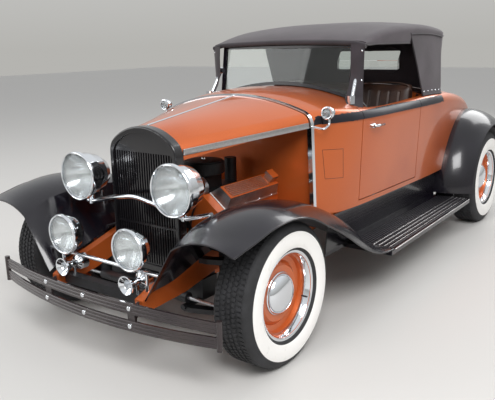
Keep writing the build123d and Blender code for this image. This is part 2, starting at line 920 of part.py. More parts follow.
# Front knuckles: upright, spindle and steering arm
upright_half = 17.0
upright_low = lower_arm_z + arm_thickness / 2 + seat_clearance
upright_high = upper_arm_z - arm_thickness / 2 - seat_clearance
upright = block(
    kingpin_x - upright_half,
    kingpin_x + upright_half,
    front_axle_y - 26,
    front_axle_y + 26,
    upright_low,
    upright_high,
)
spindle_root_x = kingpin_x
spindle_tip_x = front_wheel_x + 20
spindle = rod(
    (spindle_root_x, front_axle_y, front_tyre_radius),
    (spindle_tip_x, front_axle_y, front_tyre_radius),
    spindle_radius,
)
steer_arm = plan_profile(
    [
        (kingpin_x - 15, front_axle_y),
        (kingpin_x + 13, front_axle_y),
        (kingpin_x - steer_arm_set + 14, front_axle_y - steer_arm_length),
        (kingpin_x - steer_arm_set - 14, front_axle_y - steer_arm_length),
    ],
    tie_rod_z + 20,
    tie_rod_z + 38,
)
knuckle_left = upright + spindle + steer_arm

# Suspension arms, springs and the steering rack
arm_pivot_y = 118.0
ball_half = 24.0


def wishbone(z, pivot_x, pivot_y, tip_x):
    outer = [
        (pivot_x, front_axle_y - pivot_y - 20),
        (pivot_x, front_axle_y + pivot_y + 20),
        (pivot_x + 46, front_axle_y + pivot_y + 14),
        (tip_x + ball_half, front_axle_y + ball_half),
        (tip_x + ball_half, front_axle_y - ball_half),
        (pivot_x + 46, front_axle_y - pivot_y - 14),
    ]
    window = [
        (pivot_x - 5, front_axle_y - pivot_y + 22),
        (pivot_x - 5, front_axle_y + pivot_y - 22),
        (coil_x + coil_radius + 12, front_axle_y + 34),
        (coil_x + coil_radius + 12, front_axle_y - 34),
    ]
    low = z - arm_thickness / 2
    high = z + arm_thickness / 2
    return plan_profile(outer, low, high), plan_profile(window, low - 5, high + 5)


lower_arm, lower_window = wishbone(lower_arm_z, arm_pivot_x, arm_pivot_y, kingpin_x)
upper_pivot_x = rail_front_half_width + seat_clearance
upper_arm, upper_window = wishbone(upper_arm_z, upper_pivot_x, 96, kingpin_x)
upper_arm = upper_arm - upper_window
lower_arm = lower_arm - (lower_window - block(coil_x - 60, coil_x + 60, -5000, 5000, 0, 1000))
spring_low = lower_arm_z + arm_thickness / 2
spring_high = 486.0
coil = rod((coil_x, front_axle_y, spring_low), (coil_x, front_axle_y, spring_high), coil_radius)
tower = block(
    rail_front_half_width - 10,
    coil_x + coil_radius,
    front_axle_y - 46,
    front_axle_y + 46,
    spring_high,
    spring_high + 10,
)
arm_side = lower_arm + coil + tower
pivot_shaft_z = lower_arm_z
pivot_shaft = rod(
    (arm_pivot_x + 4, front_axle_y - arm_pivot_y - 30, pivot_shaft_z + 12),
    (arm_pivot_x + 4, front_axle_y + arm_pivot_y + 30, pivot_shaft_z + 12),
    14,
)
hanger = block(
    arm_pivot_x - 14,
    arm_pivot_x + 22,
    front_axle_y - 60,
    front_axle_y + 60,
    pivot_shaft_z + 12,
    236,
)
arm_side = arm_side + pivot_shaft + hanger - rails - front_fender - frame_cross[front_member]
rack_y = -steer_arm_length
rack_bore = tie_rod_radius + running_clearance
rack_half = 300.0
rack = rod((-rack_half, at_front(rack_y), tie_rod_z), (rack_half, at_front(rack_y), tie_rod_z), rack_radius)
rack_feet = block(-200, 200, at_front(rack_y), front_axle_y - 63, tie_rod_z - 16, tie_rod_z + 16)
rack_tunnel = rod((-900, at_front(rack_y), tie_rod_z), (900, at_front(rack_y), tie_rod_z), rack_bore)
rack = rack + rack_feet - rack_tunnel
upper_arm = upper_arm - rails - front_fender
front_suspension = both(arm_side) + both(upper_arm) + [rack]

tie_tip_x = kingpin_x - steer_arm_set
tie_rods = rod(
    (-tie_tip_x, at_front(rack_y), tie_rod_z), (tie_tip_x, at_front(rack_y), tie_rod_z), tie_rod_radius
)
tie_end_half = 14.0
tie_end_low = (tie_tip_x, at_front(rack_y), tie_rod_z - tie_end_half)
tie_end_high = (tie_tip_x, at_front(rack_y), tie_rod_z + tie_end_half)
tie_end = rod(tie_end_low, tie_end_high, 15)
tie_rods = tie_rods + tie_end + mirrored(tie_end)

# Engine: a V8 with its heads, pan and gearbox
engine_front = 96.0
engine_length = 520.0
y0 = at_front(engine_front)
y1 = at_front(engine_front + engine_length)
block_outline = [
    (-148, 318),
    (148, 318),
    (148, 400),
    (296, 548),
    (304, 622),
    (205, 699),
    (112, 632),
    (-112, 632),
    (-205, 699),
    (-304, 622),
    (-296, 548),
    (-148, 400),
]
engine_block = extrude(
    make_face(Polyline(*[(x, y1, z) for x, z in block_outline], close=True)), engine_length, dir=(0, -1, 0)
)
pan = block(-105, 105, y0 + 140, y1, 208, 318) + block(-105, 105, y0, y0 + 141, 270, 318)
bell = cone((0, y1 - 1, crank_z), (0, y1 + 130, crank_z), 162, 108)
gearbox = block(-96, 96, y1 + 120, y1 + 560, crank_z - 90, crank_z + 92)
tail_shaft = rod((0, y1 + 540, crank_z), (0, y1 + 800, crank_z), 52)
mount_reach = rail_inside(260) - seat_clearance
mount_arm = block(-mount_reach, mount_reach, y0 + 150, y0 + 215, 404, 452)
engine_block = engine_block + pan + bell + gearbox + tail_shaft + (mount_arm - rails)

# Rocker covers with their fins, tilted with each bank
cover_length = 446.0
cover_width = 126.0
cover_height = 62.0
cover_top_width = 84.0
cover_draft = 28.0
cover_tilt = 38.0
cover_seat_x = 255.0
cover_seat_z = 660.5
fin_count = 7
fin_width = 4.5
fin_height = 7.0


def valve_cover():
    base = Rectangle(cover_width, cover_length)
    top = Pos(0, 0, cover_height) * Rectangle(cover_top_width, cover_length - cover_draft)
    shape = loft([base.face(), top.face()], ruled=True)
    pitch = cover_top_width / (fin_count + 1)
    for index in range(fin_count):
        x = -cover_top_width / 2 + pitch * (index + 1)
        fin = Box(fin_width, cover_length - 130, fin_height + 2)
        shape = shape + Pos(x, -34, cover_height + fin_height / 2 - 1) * fin
    neck = Pos(0, cover_length / 2 - 62, cover_height + 14) * Box(44, 44, 30)
    cap = Pos(0, cover_length / 2 - 62, cover_height + 37) * Box(56, 56, 18)
    return shape + neck + cap


cover_place = Pos(cover_seat_x, (y0 + y1) / 2 + 22, cover_seat_z) * Rot(0, cover_tilt, 0)
valve_cover_left = cover_place * valve_cover() - engine_block
valve_covers = both(valve_cover_left)

# Intake manifold, carburettor and air cleaner
intake = block(-96, 96, y0 + 60, y1 - 60, 630, 672) + block(-60, 60, y0 + 180, y0 + 330, 670, 736)
intake = intake + rod((0, y0 + 255, 734), (0, y0 + 255, 754), 60)
intake = intake + rod((0, y0 + 255, 753), (0, y0 + 255, 812), 112)
distributor = rod((0, y1 - 34, 630), (0, y1 - 34, 800), 34)
intake = intake + distributor - engine_block - valve_cover_left - mirrored(valve_cover_left)

# Exhaust: a log manifold each side, then a pipe back under the floor to a silencer
log_x = 292.0
log_z = 520.0
log = block(log_x - 36, log_x + 26, y0 + 60, y1 - 50, log_z - 26, log_z + 26)
down_pipe = pipe(
    [
        (log_x - 10, y1 - 90, log_z),
        (log_x - 40, y1 - 30, 400),
        (log_x - 30, at_front(cowl_front + 120), 320),
        (log_x - 30, at_front(2300), 320),
    ],
    [40, 60],
    26,
)
silencer = rod((log_x - 30, at_front(1300), 320), (log_x - 30, at_front(1760), 320), 62)
exhaust_left = log + down_pipe + silencer - engine_block - rails
for member in frame_cross:
    exhaust_left = exhaust_left - member
exhaust_left = exhaust_left.solids().sort_by(lambda s: s.volume)[-1]
exhaust = both(exhaust_left)

# Pulleys, alternator and the water pump's shaft, which carries the fan
pump_z = 560.0
fan_y = 36.0
pump = rod((0, at_front(fan_y + 24), pump_z), (0, y0 + 2, pump_z), 58)
pump_shaft = rod((0, at_front(fan_y - 12), pump_z), (0, at_front(fan_y + 26), pump_z), 10)
crank_pulley = rod((0, y0 - 44, crank_z), (0, y0 + 2, crank_z), 84)
alternator = rod((138, y0 - 28, 720), (138, y0 + 64, 720), 58)
alternator = alternator + block(80, 150, y0 + 2, y0 + 30, 620, 700)
compressor = mirrored(rod((140, y0 - 28, 714), (140, y0 + 84, 714), 54))
compressor = compressor + block(-150, -80, y0 + 2, y0 + 30, 620, 700)
drive_cut = engine_block + valve_cover_left + mirrored(valve_cover_left) + intake
engine_drive = pump + pump_shaft + crank_pulley - drive_cut
accessories = [alternator - drive_cut - engine_drive, compressor - drive_cut - engine_drive]

fan_radius = 172.0
blade_count = 6
fan = rod((0, at_front(fan_y - 10), pump_z), (0, at_front(fan_y + 10), pump_z), 46)
for index in range(blade_count):
    blade = Pos(fan_radius / 2 + 16, 0, 0) * Rot(28, 0, 0) * Box(fan_radius - 32, 3, 62)
    fan = fan + Pos(0, at_front(fan_y), pump_z) * Rot(0, 360 / blade_count * index, 0) * blade
fan = fan - rod((0, at_front(fan_y - 20), pump_z), (0, at_front(fan_y + 20), pump_z), 10 + running_clearance)
fan_ring = rod((0, at_front(fan_y - 40), pump_z), (0, at_front(fan_y + 40), pump_z), fan_radius)
fan = fan & fan_ring

# Rear axle with the torque tube, leaf springs
axle_tube_radius = 38.0
axle_end_x = rear_wheel_x - hub_inner - 2
axle_left_end = (axle_end_x, rear_axle_y, rear_tyre_radius)
axle_right_end = (-axle_end_x, rear_axle_y, rear_tyre_radius)
rear_axle = rod(axle_right_end, axle_left_end, axle_tube_radius)
rear_axle = rear_axle + Pos(0, rear_axle_y, rear_tyre_radius) * Sphere(148)
stub = rod(
    (-rear_wheel_x - 20, rear_axle_y, rear_tyre_radius),
    (rear_wheel_x + 20, rear_axle_y, rear_tyre_radius),
    spindle_radius,
)
rear_axle = rear_axle + stub
torque_start = y1 + 800 + seat_clearance
torque = cone((0, torque_start - 6, crank_z), (0, rear_axle_y - 130, rear_tyre_radius), 40, 46)
rear_axle = rear_axle + torque - engine_block
spring_x = 470.0
spring_width = 50.0
leaf_thickness = 8.0
leaves = [(530, 0), (450, 1), (360, 2), (260, 3), (160, 4)]
spring_rise = 36.0
pad_z = rear_tyre_radius + axle_tube_radius + 2


def leaf(half_length, index):
    """One leaf, curved down at the axle, stacked downwards from the longest."""
    z_mid = pad_z + leaf_thickness * (len(leaves) - 1 - index)
    z_end = z_mid + spring_rise * (half_length / leaves[0][0]) ** 2
    t = leaf_thickness
    x = spring_x - spring_width / 2
    outline = Wire(
        [
            Edge.make_three_point_arc(
                (x, at_rear(-half_length), z_end), (x, at_rear(0), z_mid), (x, at_rear(half_length), z_end)
            ),
            Edge.make_line((x, at_rear(half_length), z_end), (x, at_rear(half_length), z_end + t)),
            Edge.make_three_point_arc(
                (x, at_rear(half_length), z_end + t),
                (x, at_rear(0), z_mid + t),
                (x, at_rear(-half_length), z_end + t),
            ),
            Edge.make_line((x, at_rear(-half_length), z_end + t), (x, at_rear(-half_length), z_end)),
        ]
    )
    return extrude(Face(outline), spring_width, dir=(1, 0, 0))


rear_spring = leaf(*leaves[0])
for half_length, index in leaves[1:]:
    rear_spring = rear_spring + leaf(half_length, index)
eye_z = pad_z + leaf_thickness * (len(leaves) - 0.5) + spring_rise - 6
for y in (-leaves[0][0], leaves[0][0]):
    half_spring = spring_width / 2
    eye = rod((spring_x - half_spring, at_rear(y), eye_z), (spring_x + half_spring, at_rear(y), eye_z), 20)
    pin = rod((rail_rear_half_width - 6, at_rear(y), eye_z), (spring_x, at_rear(y), eye_z), 12)
    rear_spring = rear_spring + eye + pin
clip = block(
    spring_x - spring_width / 2 - 8,
    spring_x + spring_width / 2 + 8,
    at_rear(-45),
    at_rear(45),
    rear_tyre_radius - axle_tube_radius - 12,
    pad_z + leaf_thickness * 5 + 10,
)
rear_spring = rear_spring + clip - rear_axle - rails
rear_springs = both(rear_spring)

# Fuel tank between the rails behind the axle
tank_top = 500.0
tank = block(-300, 300, at_rear(230), at_rear(470), 330, tank_top)
tank = fillet(tank.edges().filter_by(Axis.X), 40)
strap_reach = rail_inside(3200) - seat_clearance
tank_strap = block(-strap_reach, strap_reach, at_rear(320), at_rear(350), tank_top - 1, tank_top + 12)
fuel_tank = tank + tank_strap

# Headlamps, their tie bar, fog lamps and horns
def lamp_shell(radius, depth, x, y, z):
    """A chrome bowl with its rim in front, hollow behind the lens."""
    profile = [
        (radius, 0),
        (radius, 13),
        (radius - 8, 19),
        (radius * 0.9, depth * 0.34),
        (radius * 0.78, depth * 0.6),
        (radius * 0.55, depth * 0.82),
        (radius * 0.27, depth * 0.96),
        (0, depth),
        (0, depth * 0.74),
        (radius * 0.42, depth * 0.6),
        (radius * 0.72, depth * 0.32),
        (radius - 15, 12),
        (radius - 9, 12),
        (radius - 9, 0),
    ]
    return turned_y(profile, x, y, z)


def lamp_lens(radius, x, y, z):
    """A slightly domed glass in the lamp's rim."""
    edge = radius - 9 - seat_clearance
    profile = [
        (0, -5),
        (edge * 0.6, -2),
        (edge, 4),
        (edge, 12 - seat_clearance),
        (edge * 0.6, 12 - seat_clearance - 4),
        (0, 4),
    ]
    return turned_y(profile, x, y, z)


headlamp_left = lamp_shell(headlamp_radius, headlamp_depth, headlamp_x, at_front(headlamp_y), headlamp_z)
headlamps = both(headlamp_left)
fog_left = lamp_shell(fog_radius, fog_depth, fog_x, at_front(fog_y), fog_z)
head_lens = lamp_lens(headlamp_radius, headlamp_x, at_front(headlamp_y), headlamp_z)
fog_lens = lamp_lens(fog_radius, fog_x, at_front(fog_y), fog_z)
lamp_lenses = both(head_lens) + both(fog_lens)

bar_y = at_front(lamp_bar_y)
bar_low_z = 655.0
bar_route = [
    (-484, bar_y, 700),
    (-headlamp_x, bar_y, bar_low_z),
    (-150, bar_y, 700),
    (0, bar_y, 724),
    (150, bar_y, 700),
    (headlamp_x, bar_y, bar_low_z),
    (484, bar_y, 700),
]
headlamp_bar = pipe(bar_route, [110, 160, 300, 160, 110], lamp_bar_radius)
lamp_post = rod((headlamp_x, bar_y, bar_low_z - 6), (headlamp_x, bar_y, headlamp_z), 15)
headlamp_bar = headlamp_bar + lamp_post + mirrored(lamp_post)
for shape in front_fenders + headlamps:
    headlamp_bar = headlamp_bar - shape
# What is left of the post inside the hollow bowl is not part of the bar
headlamp_bar = headlamp_bar.solids().sort_by(lambda s: s.volume)[-1]

fog_bar_y = at_front(-388)
fog_bar_z = 462.0
fog_bar = rod((-400, fog_bar_y, fog_bar_z), (400, fog_bar_y, fog_bar_z), 9)
fog_post = rod((fog_x, fog_bar_y, fog_bar_z), (fog_x, fog_bar_y, fog_z - 40), 11)
horn_x = 220.0
horn_y = -455.0
horn_z = 405.0
rail_post_x = horn_half_width - rail_thickness / 2
rail_post = rod((rail_post_x, fog_bar_y, 350), (rail_post_x, fog_bar_y, fog_bar_z), 9)
fog_bar = fog_bar + fog_post + mirrored(fog_post) + rail_post + mirrored(rail_post)
for shape in front_fenders + both(fog_left) + frame_rails:
    fog_bar = fog_bar - shape
fog_bar = fog_bar.solids().sort_by(lambda s: s.volume)[-1]
fog_lamps = both(fog_left) + [fog_bar]

horn_profile = [
    (46, 0),
    (46, 4),
    (30, 22),
    (18, 52),
    (15, 84),
    (36, 92),
    (38, 100),
    (38, 136),
    (30, 144),
    (0, 144),
    (0, 60),
    (14, 40),
    (26, 16),
    (41, 0),
]
horn = turned_y(horn_profile, horn_x, at_front(horn_y), horn_z)
horn_post = rod((horn_x, at_front(-382), 340), (horn_x, at_front(-382), horn_z - 12), 8)
horn = horn + horn_post - frame_cross[0]
horn = horn.solids().sort_by(lambda s: s.volume)[-1]
horns = both(horn)

# Windshield: a black frame whose lower rail follows the cowl, one pane, chrome posts
tilt_z = 1120.0


def windshield_plate(inset, thickness):
    """The outline of the frame, moved in by inset, as a plate leaning back."""
    half = windshield_half_width - inset
    corner_z = windshield_corner_z + inset
    middle_z = windshield_bottom_z + inset
    top_z = windshield_top_z - inset
    y = -thickness / 2
    outline = Wire(
        [
            Edge.make_three_point_arc((-half, y, corner_z), (0, y, middle_z), (half, y, corner_z)),
            Edge.make_line((half, y, corner_z), (half, y, top_z)),
            Edge.make_line((half, y, top_z), (-half, y, top_z)),
            Edge.make_line((-half, y, top_z), (-half, y, corner_z)),
        ]
    )
    plate = extrude(Face(outline), thickness, dir=(0, 1, 0))
    return Pos(0, at_front(windshield_y), tilt_z) * Rot(-windshield_tilt, 0, 0) * Pos(0, 0, -tilt_z) * plate


frame_thickness = 22.0
windshield_frame = windshield_plate(0, frame_thickness)
windshield_frame = windshield_frame - windshield_plate(windshield_rail, frame_thickness + 10)
windshield_frame = windshield_frame - body_outer - moulding
windshield_glass = windshield_plate(windshield_rail + seat_clearance, glass_thickness)
post_radius = 11.0
boss_radius = 22.0
post_foot = (522, at_front(1038), 1080)
post_top = (windshield_half_width + 18, at_front(windshield_y + 14), 1254)
windshield_post = rod(post_foot, post_top, post_radius)
windshield_post = windshield_post + rod(post_foot, (post_foot[0], post_foot[1], 1126), boss_radius)
clamp_inner = (windshield_half_width - 6, post_top[1], post_top[2])
clamp_outer = (windshield_half_width + 32, post_top[1], post_top[2])
windshield_post = windshield_post + rod(clamp_inner, clamp_outer, boss_radius)
windshield_post = windshield_post - windshield_frame - windshield_glass - body_outer
windshield_post = windshield_post.solids().sort_by(lambda s: s.volume)[-1]
windshield_posts = both(windshield_post)

# Canvas top: y, half width low and at the eave, height of the eave's crown edge and of the crown
top_front = 1148.0
top_stations = [
    (at_front(top_front), 562, 556, 1424, 1440),
    (at_front(1330), 570, 562, 1470, 1500),
    (at_front(1740), 588, 574, 1514, 1550),
    (at_front(2180), 600, 577, 1506, 1544),
    (at_front(top_rear + 30), 598, 575, 1470, 1502),
]
top_bottom_z = 1000.0
eave_width = 46.0


def top_section(station, inset, y):
    half_low, half_eave, z_edge, z_crown = station[1:]
    low = half_low - inset
    eave = half_eave - inset
    crown_x = eave - eave_width + inset / 2
    slope = 2 * atan2(z_crown - z_edge, crown_x)
    z_in = z_edge - inset
    z_side = z_in - (eave - crown_x) * tan(pi / 4 + slope / 2)
    lean = (eave - low, 0, z_side - top_bottom_z)
    return Wire(
        [
            Edge.make_line((-low, y, top_bottom_z), (low, y, top_bottom_z)),
            Edge.make_line((low, y, top_bottom_z), (eave, y, z_side)),
            Edge.make_tangent_arc((eave, y, z_side), lean, (crown_x, y, z_in)),
            Edge.make_three_point_arc((crown_x, y, z_in), (0, y, z_crown - inset), (-crown_x, y, z_in)),
            Edge.make_tangent_arc((-eave, y, z_side), (-lean[0], 0, lean[2]), (-crown_x, y, z_in)),
            Edge.make_line((-eave, y, z_side), (-low, y, top_bottom_z)),
        ]
    )


def top_solid(inset, front_inset):
    wires = []
    for index, station in enumerate(top_stations):
        y = station[0] + (front_inset if index == 0 else 0)
        wires.append(top_section(station, inset, y))
    skin = Solid.make_loft(wires, False)
    # The back: from the deck up and back to the rear bow, then round into the roof
    back = [
        (top_front - 10, top_bottom_z - 10),
        (2306 - inset, top_bottom_z - 10),
        (2296 - inset, 1120),
        (2292 - inset, 1280),
        (top_rear - 26 - inset, 1380),
        (top_rear + 6 - inset, 1418),
        (top_rear - 2 - inset, 1446 - inset / 2),
        (top_rear - 44 - inset, 1486 - inset),
        (top_rear - 120, 1520 - inset),
        (2180, 1640),
        (top_front - 10, 1640),
    ]
    side = side_profile([(at_front(y), z) for y, z in back], -800, 800)
    # Seen from above the back corners are round
    corner = 110.0
    half = 640 - inset
    rear = at_front(top_rear + 12) - inset
    start = at_front(top_front - 10)
    flat = half - corner * 1.2
    bulge_x = half - corner * 0.36
    bulge_y = rear - corner * 0.29
    outline = Wire(
        [
            Edge.make_line((half, start, 0), (-half, start, 0)),
            Edge.make_line((-half, start, 0), (-half, rear - corner, 0)),
            Edge.make_three_point_arc((-half, rear - corner, 0), (-bulge_x, bulge_y, 0), (-flat, rear, 0)),
            Edge.make_line((-flat, rear, 0), (flat, rear, 0)),
            Edge.make_three_point_arc((flat, rear, 0), (bulge_x, bulge_y, 0), (half, rear - corner, 0)),
            Edge.make_line((half, rear - corner, 0), (half, start, 0)),
        ]
    )
    plan = Pos(0, 0, 900) * extrude(Face(outline), 800, dir=(0, 0, 1))
    return skin & side & plan


header_depth = 30.0
top_shell = top_solid(0, 0) - top_solid(top_sheet, header_depth)
window_outline = [
    (top_front - 20, 900),
    (top_window_rear, 900),
    (top_window_rear, belt_top_z),
    (1792, 1330),
    (1722, 1400),
    (1700, top_header_z),
    (top_front - 20, top_header_z),
]
side_window = side_profile([(at_front(y), z) for y, z in window_outline], -700, 700)
top_shell = top_shell - side_window - body_outer - moulding
window_low = (-250, at_front(2230), 1215)
window_high = (250, at_front(2500), 1350)


def window_block(gap):
    x0, y0, z0 = window_low
    x1, y1, z1 = window_high
    return block(x0 + gap, x1 - gap, y0, y1, z0 + gap, z1 - gap)


rear_window = top_shell & window_block(seat_clearance)
soft_top = top_shell - window_block(0) - windshield_frame
soft_top = soft_top.solids().sort_by(lambda s: s.volume)[-1]

# Chrome band between hood and cowl with the cowl lamps on their brackets
band_depth = 27.0
band_front = at_front(cowl_front) - band_depth
band_station = body_stations[0]


def band_wire(inset):
    return body_section(band_station, inset, at_front(cowl_front) - seat_clearance)


band = extrude(Face(band_wire(-6)), band_depth, dir=(0, -1, 0))
band = band - extrude(Face(band_wire(20)), band_depth, dir=(0, -1, 0))
band = band - block(-700, 700, band_front - 10, at_front(cowl_front) + 10, 400, 530)
cowl_lamp_x = 580.0
cowl_lamp_y = 665.0
cowl_lamp_z = 1066.0
cowl_lamp_shell = lamp_shell(34, 70, cowl_lamp_x, at_front(cowl_lamp_y), cowl_lamp_z)
bracket = pipe(
    [
        (494, band_front + 12, 996),
        (cowl_lamp_x - 6, band_front + 14, 984),
        (cowl_lamp_x, at_front(cowl_lamp_y + 26), 1004),
        (cowl_lamp_x, at_front(cowl_lamp_y + 26), 1050),
    ],
    [16, 16],
    6,
)
bracket = bracket - cowl_lamp_shell - body_outer
bracket = bracket.solids().sort_by(lambda s: s.volume)[-1]
cowl_band = band + bracket + mirrored(bracket)
cowl_lamps = both(cowl_lamp_shell)

# Dashboard, steering column and wheel on the left
column_x = 330.0
wheel_center = Vector(column_x, at_front(1290), 965)
column_direction = Vector(0, 0.875, 0.484).normalized()
column_start = wheel_center - column_direction * 700
column_end = wheel_center - column_direction * 26
dashboard = block(-700, 700, at_front(1084), at_front(1104), 905, 1200)
column = rod(column_start, column_end, 22)
hanger_z = 965 - 190 * 0.553
column_hanger = block(column_x - 18, column_x + 18, at_front(1084), at_front(1104), hanger_z - 10, 906)
dashboard = (dashboard + column + column_hanger) & cabin_space
shaft_radius = 9.0
shaft_bore = rod(
    (column_end - column_direction * 80),
    (column_end + column_direction * 5),
    shaft_radius + running_clearance,
)
dashboard = dashboard - shaft_bore
dashboard = dashboard.solids().sort_by(lambda s: s.volume)[-1]
steer_plane = Plane(origin=wheel_center, x_dir=(1, 0, 0), z_dir=column_direction)
rim_radius = 195.0
steering_wheel = steer_plane * Torus(rim_radius, 12)
steering_wheel = steering_wheel + steer_plane * Cylinder(34, 36)
for index in range(4):
    spoke = Rot(0, 0, 45 + 90 * index) * Pos(rim_radius / 2, 0, 0) * Box(rim_radius - 10, 20, 8)
    steering_wheel = steering_wheel + steer_plane * spoke
shaft = rod((column_end - column_direction * 60), wheel_center, shaft_radius)
steering_wheel = steering_wheel + shaft

# Seats
floor_z = body_bottom_z + wall
cushion_top_z = 760.0
cushion = block(-530, 530, at_front(1420), at_front(1960), floor_z + seat_clearance, cushion_top_z)
cushion = fillet(cushion.edges().filter_by(Axis.X).group_by(Axis.Z)[-1], 40)
back_profile = [
    (1810, cushion_top_z - 20),
    (1972, cushion_top_z - 20),
    (1976, 1100),
    (1968, 1150),
    (1920, 1160),
    (1888, 1130),
]
back_rest = side_profile([(at_front(y), z) for y, z in back_profile], -530, 530)
seat_front = cushion + back_rest
rumble_floor_z = 628 + frame_clearance + recess_sheet
seat_rumble = block(-300, 300, at_front(2600), at_front(2900), rumble_floor_z + seat_clearance, 760)
seat_rumble = fillet(seat_rumble.edges().filter_by(Axis.X).group_by(Axis.Z)[-1], 30)

# Tail lamps on the rear fenders
tail_x = 668.0
tail_y = 500.0
tail_z = 612.0
tail_profile = [(34, 0), (40, -8), (40, -20), (26, -52), (16, -90), (0, -90), (0, 6), (20, 4)]
tail_lamp = turned_y(tail_profile, tail_x, at_rear(tail_y), tail_z) - rear_fender
tail_lamp = tail_lamp.solids().sort_by(lambda s: s.center().Y)[-1]
tail_lamps = both(tail_lamp)


os.makedirs("parts", exist_ok=True)
save("cowl", cowl, *both(cowl_moulding))
save("body_tub", body_tub + bulkhead, *both(tub_moulding))
save("door_left", *door_left)
save("door_right", *[mirrored(piece) for piece in door_left])
save("rumble_lid", lid_piece)
save("hood_left", hood_left)
save("hood_right", mirrored(hood_left))
save("hood_stays", *hood_stays)
save("radiator_shell", radiator_shell)
save("radiator_grille", grille)
save("radiator_core", radiator_core)
save("frame_rails", *frame_rails)
save("frame_cross_members", *frame_cross)
save("front_bumper", *front_bumper)
save("rear_bumper", *rear_bumper)
save("front_fenders", *front_fenders)
save("rear_fenders", *rear_fenders)
save("running_boards", *running_boards)
save("front_suspension", *front_suspension)
save("knuckle_left", knuckle_left)
save("knuckle_right", mirrored(knuckle_left))
save("tie_rods", tie_rods)
save("engine_block", engine_block)
save("valve_covers", *valve_covers)
save("intake", intake)
save("exhaust", *exhaust)
save("engine_drive", engine_drive, *accessories)
save("fan", fan)
save("rear_axle", rear_axle)
save("rear_springs", *rear_springs)
save("fuel_tank", fuel_tank)
for node, shape in wheels.items():
    save(node, shape)
save("headlamps", *headlamps)
save("headlamp_bar", headlamp_bar)
save("fog_lamps", *fog_lamps)
save("lamp_lenses", *lamp_lenses)
save("horns", *horns)
save("windshield_frame", windshield_frame)
save("windshield_glass", windshield_glass)
save("windshield_posts", *windshield_posts)
save("soft_top", soft_top)
save("rear_window", rear_window)
save("cowl_band", cowl_band)
save("cowl_lamps", *cowl_lamps)
save("dashboard", dashboard)
save("steering_wheel", steering_wheel)
save("seat_front", seat_front)
save("seat_rumble", seat_rumble)
save("tail_lamps", *tail_lamps)
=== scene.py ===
"""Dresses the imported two-seat roadster: lacquer, chrome, tyres, canvas, leather and engine."""

import math

import bpy
from bpy.props import FloatProperty, FloatVectorProperty, IntProperty, PointerProperty
from mathutils import Matrix, Vector
from mathutils.bvhtree import BVHTree


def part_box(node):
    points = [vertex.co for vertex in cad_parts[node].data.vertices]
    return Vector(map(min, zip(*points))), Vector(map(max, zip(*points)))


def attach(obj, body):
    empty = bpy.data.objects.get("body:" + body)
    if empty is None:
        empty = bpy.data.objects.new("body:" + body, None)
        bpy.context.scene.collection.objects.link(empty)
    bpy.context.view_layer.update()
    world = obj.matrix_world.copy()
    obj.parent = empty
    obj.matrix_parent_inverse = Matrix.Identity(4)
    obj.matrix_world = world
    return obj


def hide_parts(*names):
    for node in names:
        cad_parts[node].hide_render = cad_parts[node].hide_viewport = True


bl_info = {
    "name": "Roadster dress",
    "version": (1, 0, 0),
    "blender": (4, 5, 0),
    "location": "3D View > Sidebar > Roadster",
    "description": "Builds the finish and the fine pieces of a two-seat roadster",
    "category": "Object",
}

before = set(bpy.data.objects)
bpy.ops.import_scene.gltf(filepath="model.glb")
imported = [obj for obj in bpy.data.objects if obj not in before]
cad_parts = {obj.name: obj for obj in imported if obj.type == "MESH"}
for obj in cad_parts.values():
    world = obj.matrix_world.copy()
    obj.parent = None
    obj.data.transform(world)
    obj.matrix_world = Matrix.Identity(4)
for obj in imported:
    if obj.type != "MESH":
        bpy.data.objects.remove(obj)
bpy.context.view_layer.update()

CHASSIS = "chassis"
SIDES = {"left": 1.0, "right": -1.0}
CORNERS = [(end, side) for end in ("front", "rear") for side in SIDES]


def linear(text):
    """A colour written as sRGB hex, as the linear values that a shader takes."""
    values = []
    for start in (0, 2, 4):
        level = int(text[start:start + 2], 16) / 255
        values.append(level / 12.92 if level <= 0.04045 else ((level + 0.055) / 1.055) ** 2.4)
    return (*values, 1.0)


# Modelling

MERGE_DISTANCE = 0.00002
SWELL_FRAMES = 20


def deselect():
    """Nothing stays selected, because operators act on all that is."""
    for other in bpy.context.selected_objects:
        other.select_set(False)


def select_only(piece):
    """The operators that follow act on this piece alone."""
    deselect()
    piece.select_set(True)
    bpy.context.view_layer.objects.active = piece


def take(name):
    """The object that an operator has just added, under its own name."""
    piece = bpy.context.object
    piece.name = name
    piece.data.name = name
    return piece


def edit(action="SELECT"):
    """Edit mode of the active object, with everything selected or nothing."""
    bpy.ops.object.mode_set(mode="EDIT")
    bpy.ops.mesh.select_all(action=action)


def end_edit():
    bpy.ops.object.mode_set(mode="OBJECT")


def apply_place(piece):
    """The place goes into the mesh, so the object stays at the origin."""
    select_only(piece)
    bpy.ops.object.transform_apply(location=True, rotation=True, scale=True)


def apply_modifiers(piece):
    bpy.context.view_layer.objects.active = piece
    for modifier in list(piece.modifiers):
        bpy.ops.object.modifier_apply(modifier=modifier.name)


def modify(piece, kind, **settings):
    """Adds a modifier with its settings and applies it."""
    modifier = piece.modifiers.new(kind.lower(), kind)
    for key, value in settings.items():
        setattr(modifier, key, value)
    apply_modifiers(piece)


def smooth(piece, angle=35.0):
    select_only(piece)
    bpy.ops.object.shade_smooth_by_angle(angle=math.radians(angle))


def tidy_normals(piece):
    """Doubles are merged and every face is turned outwards."""
    select_only(piece)
    edit()
    bpy.ops.mesh.remove_doubles(threshold=MERGE_DISTANCE)
    bpy.ops.mesh.normals_make_consistent(inside=False)
    end_edit()


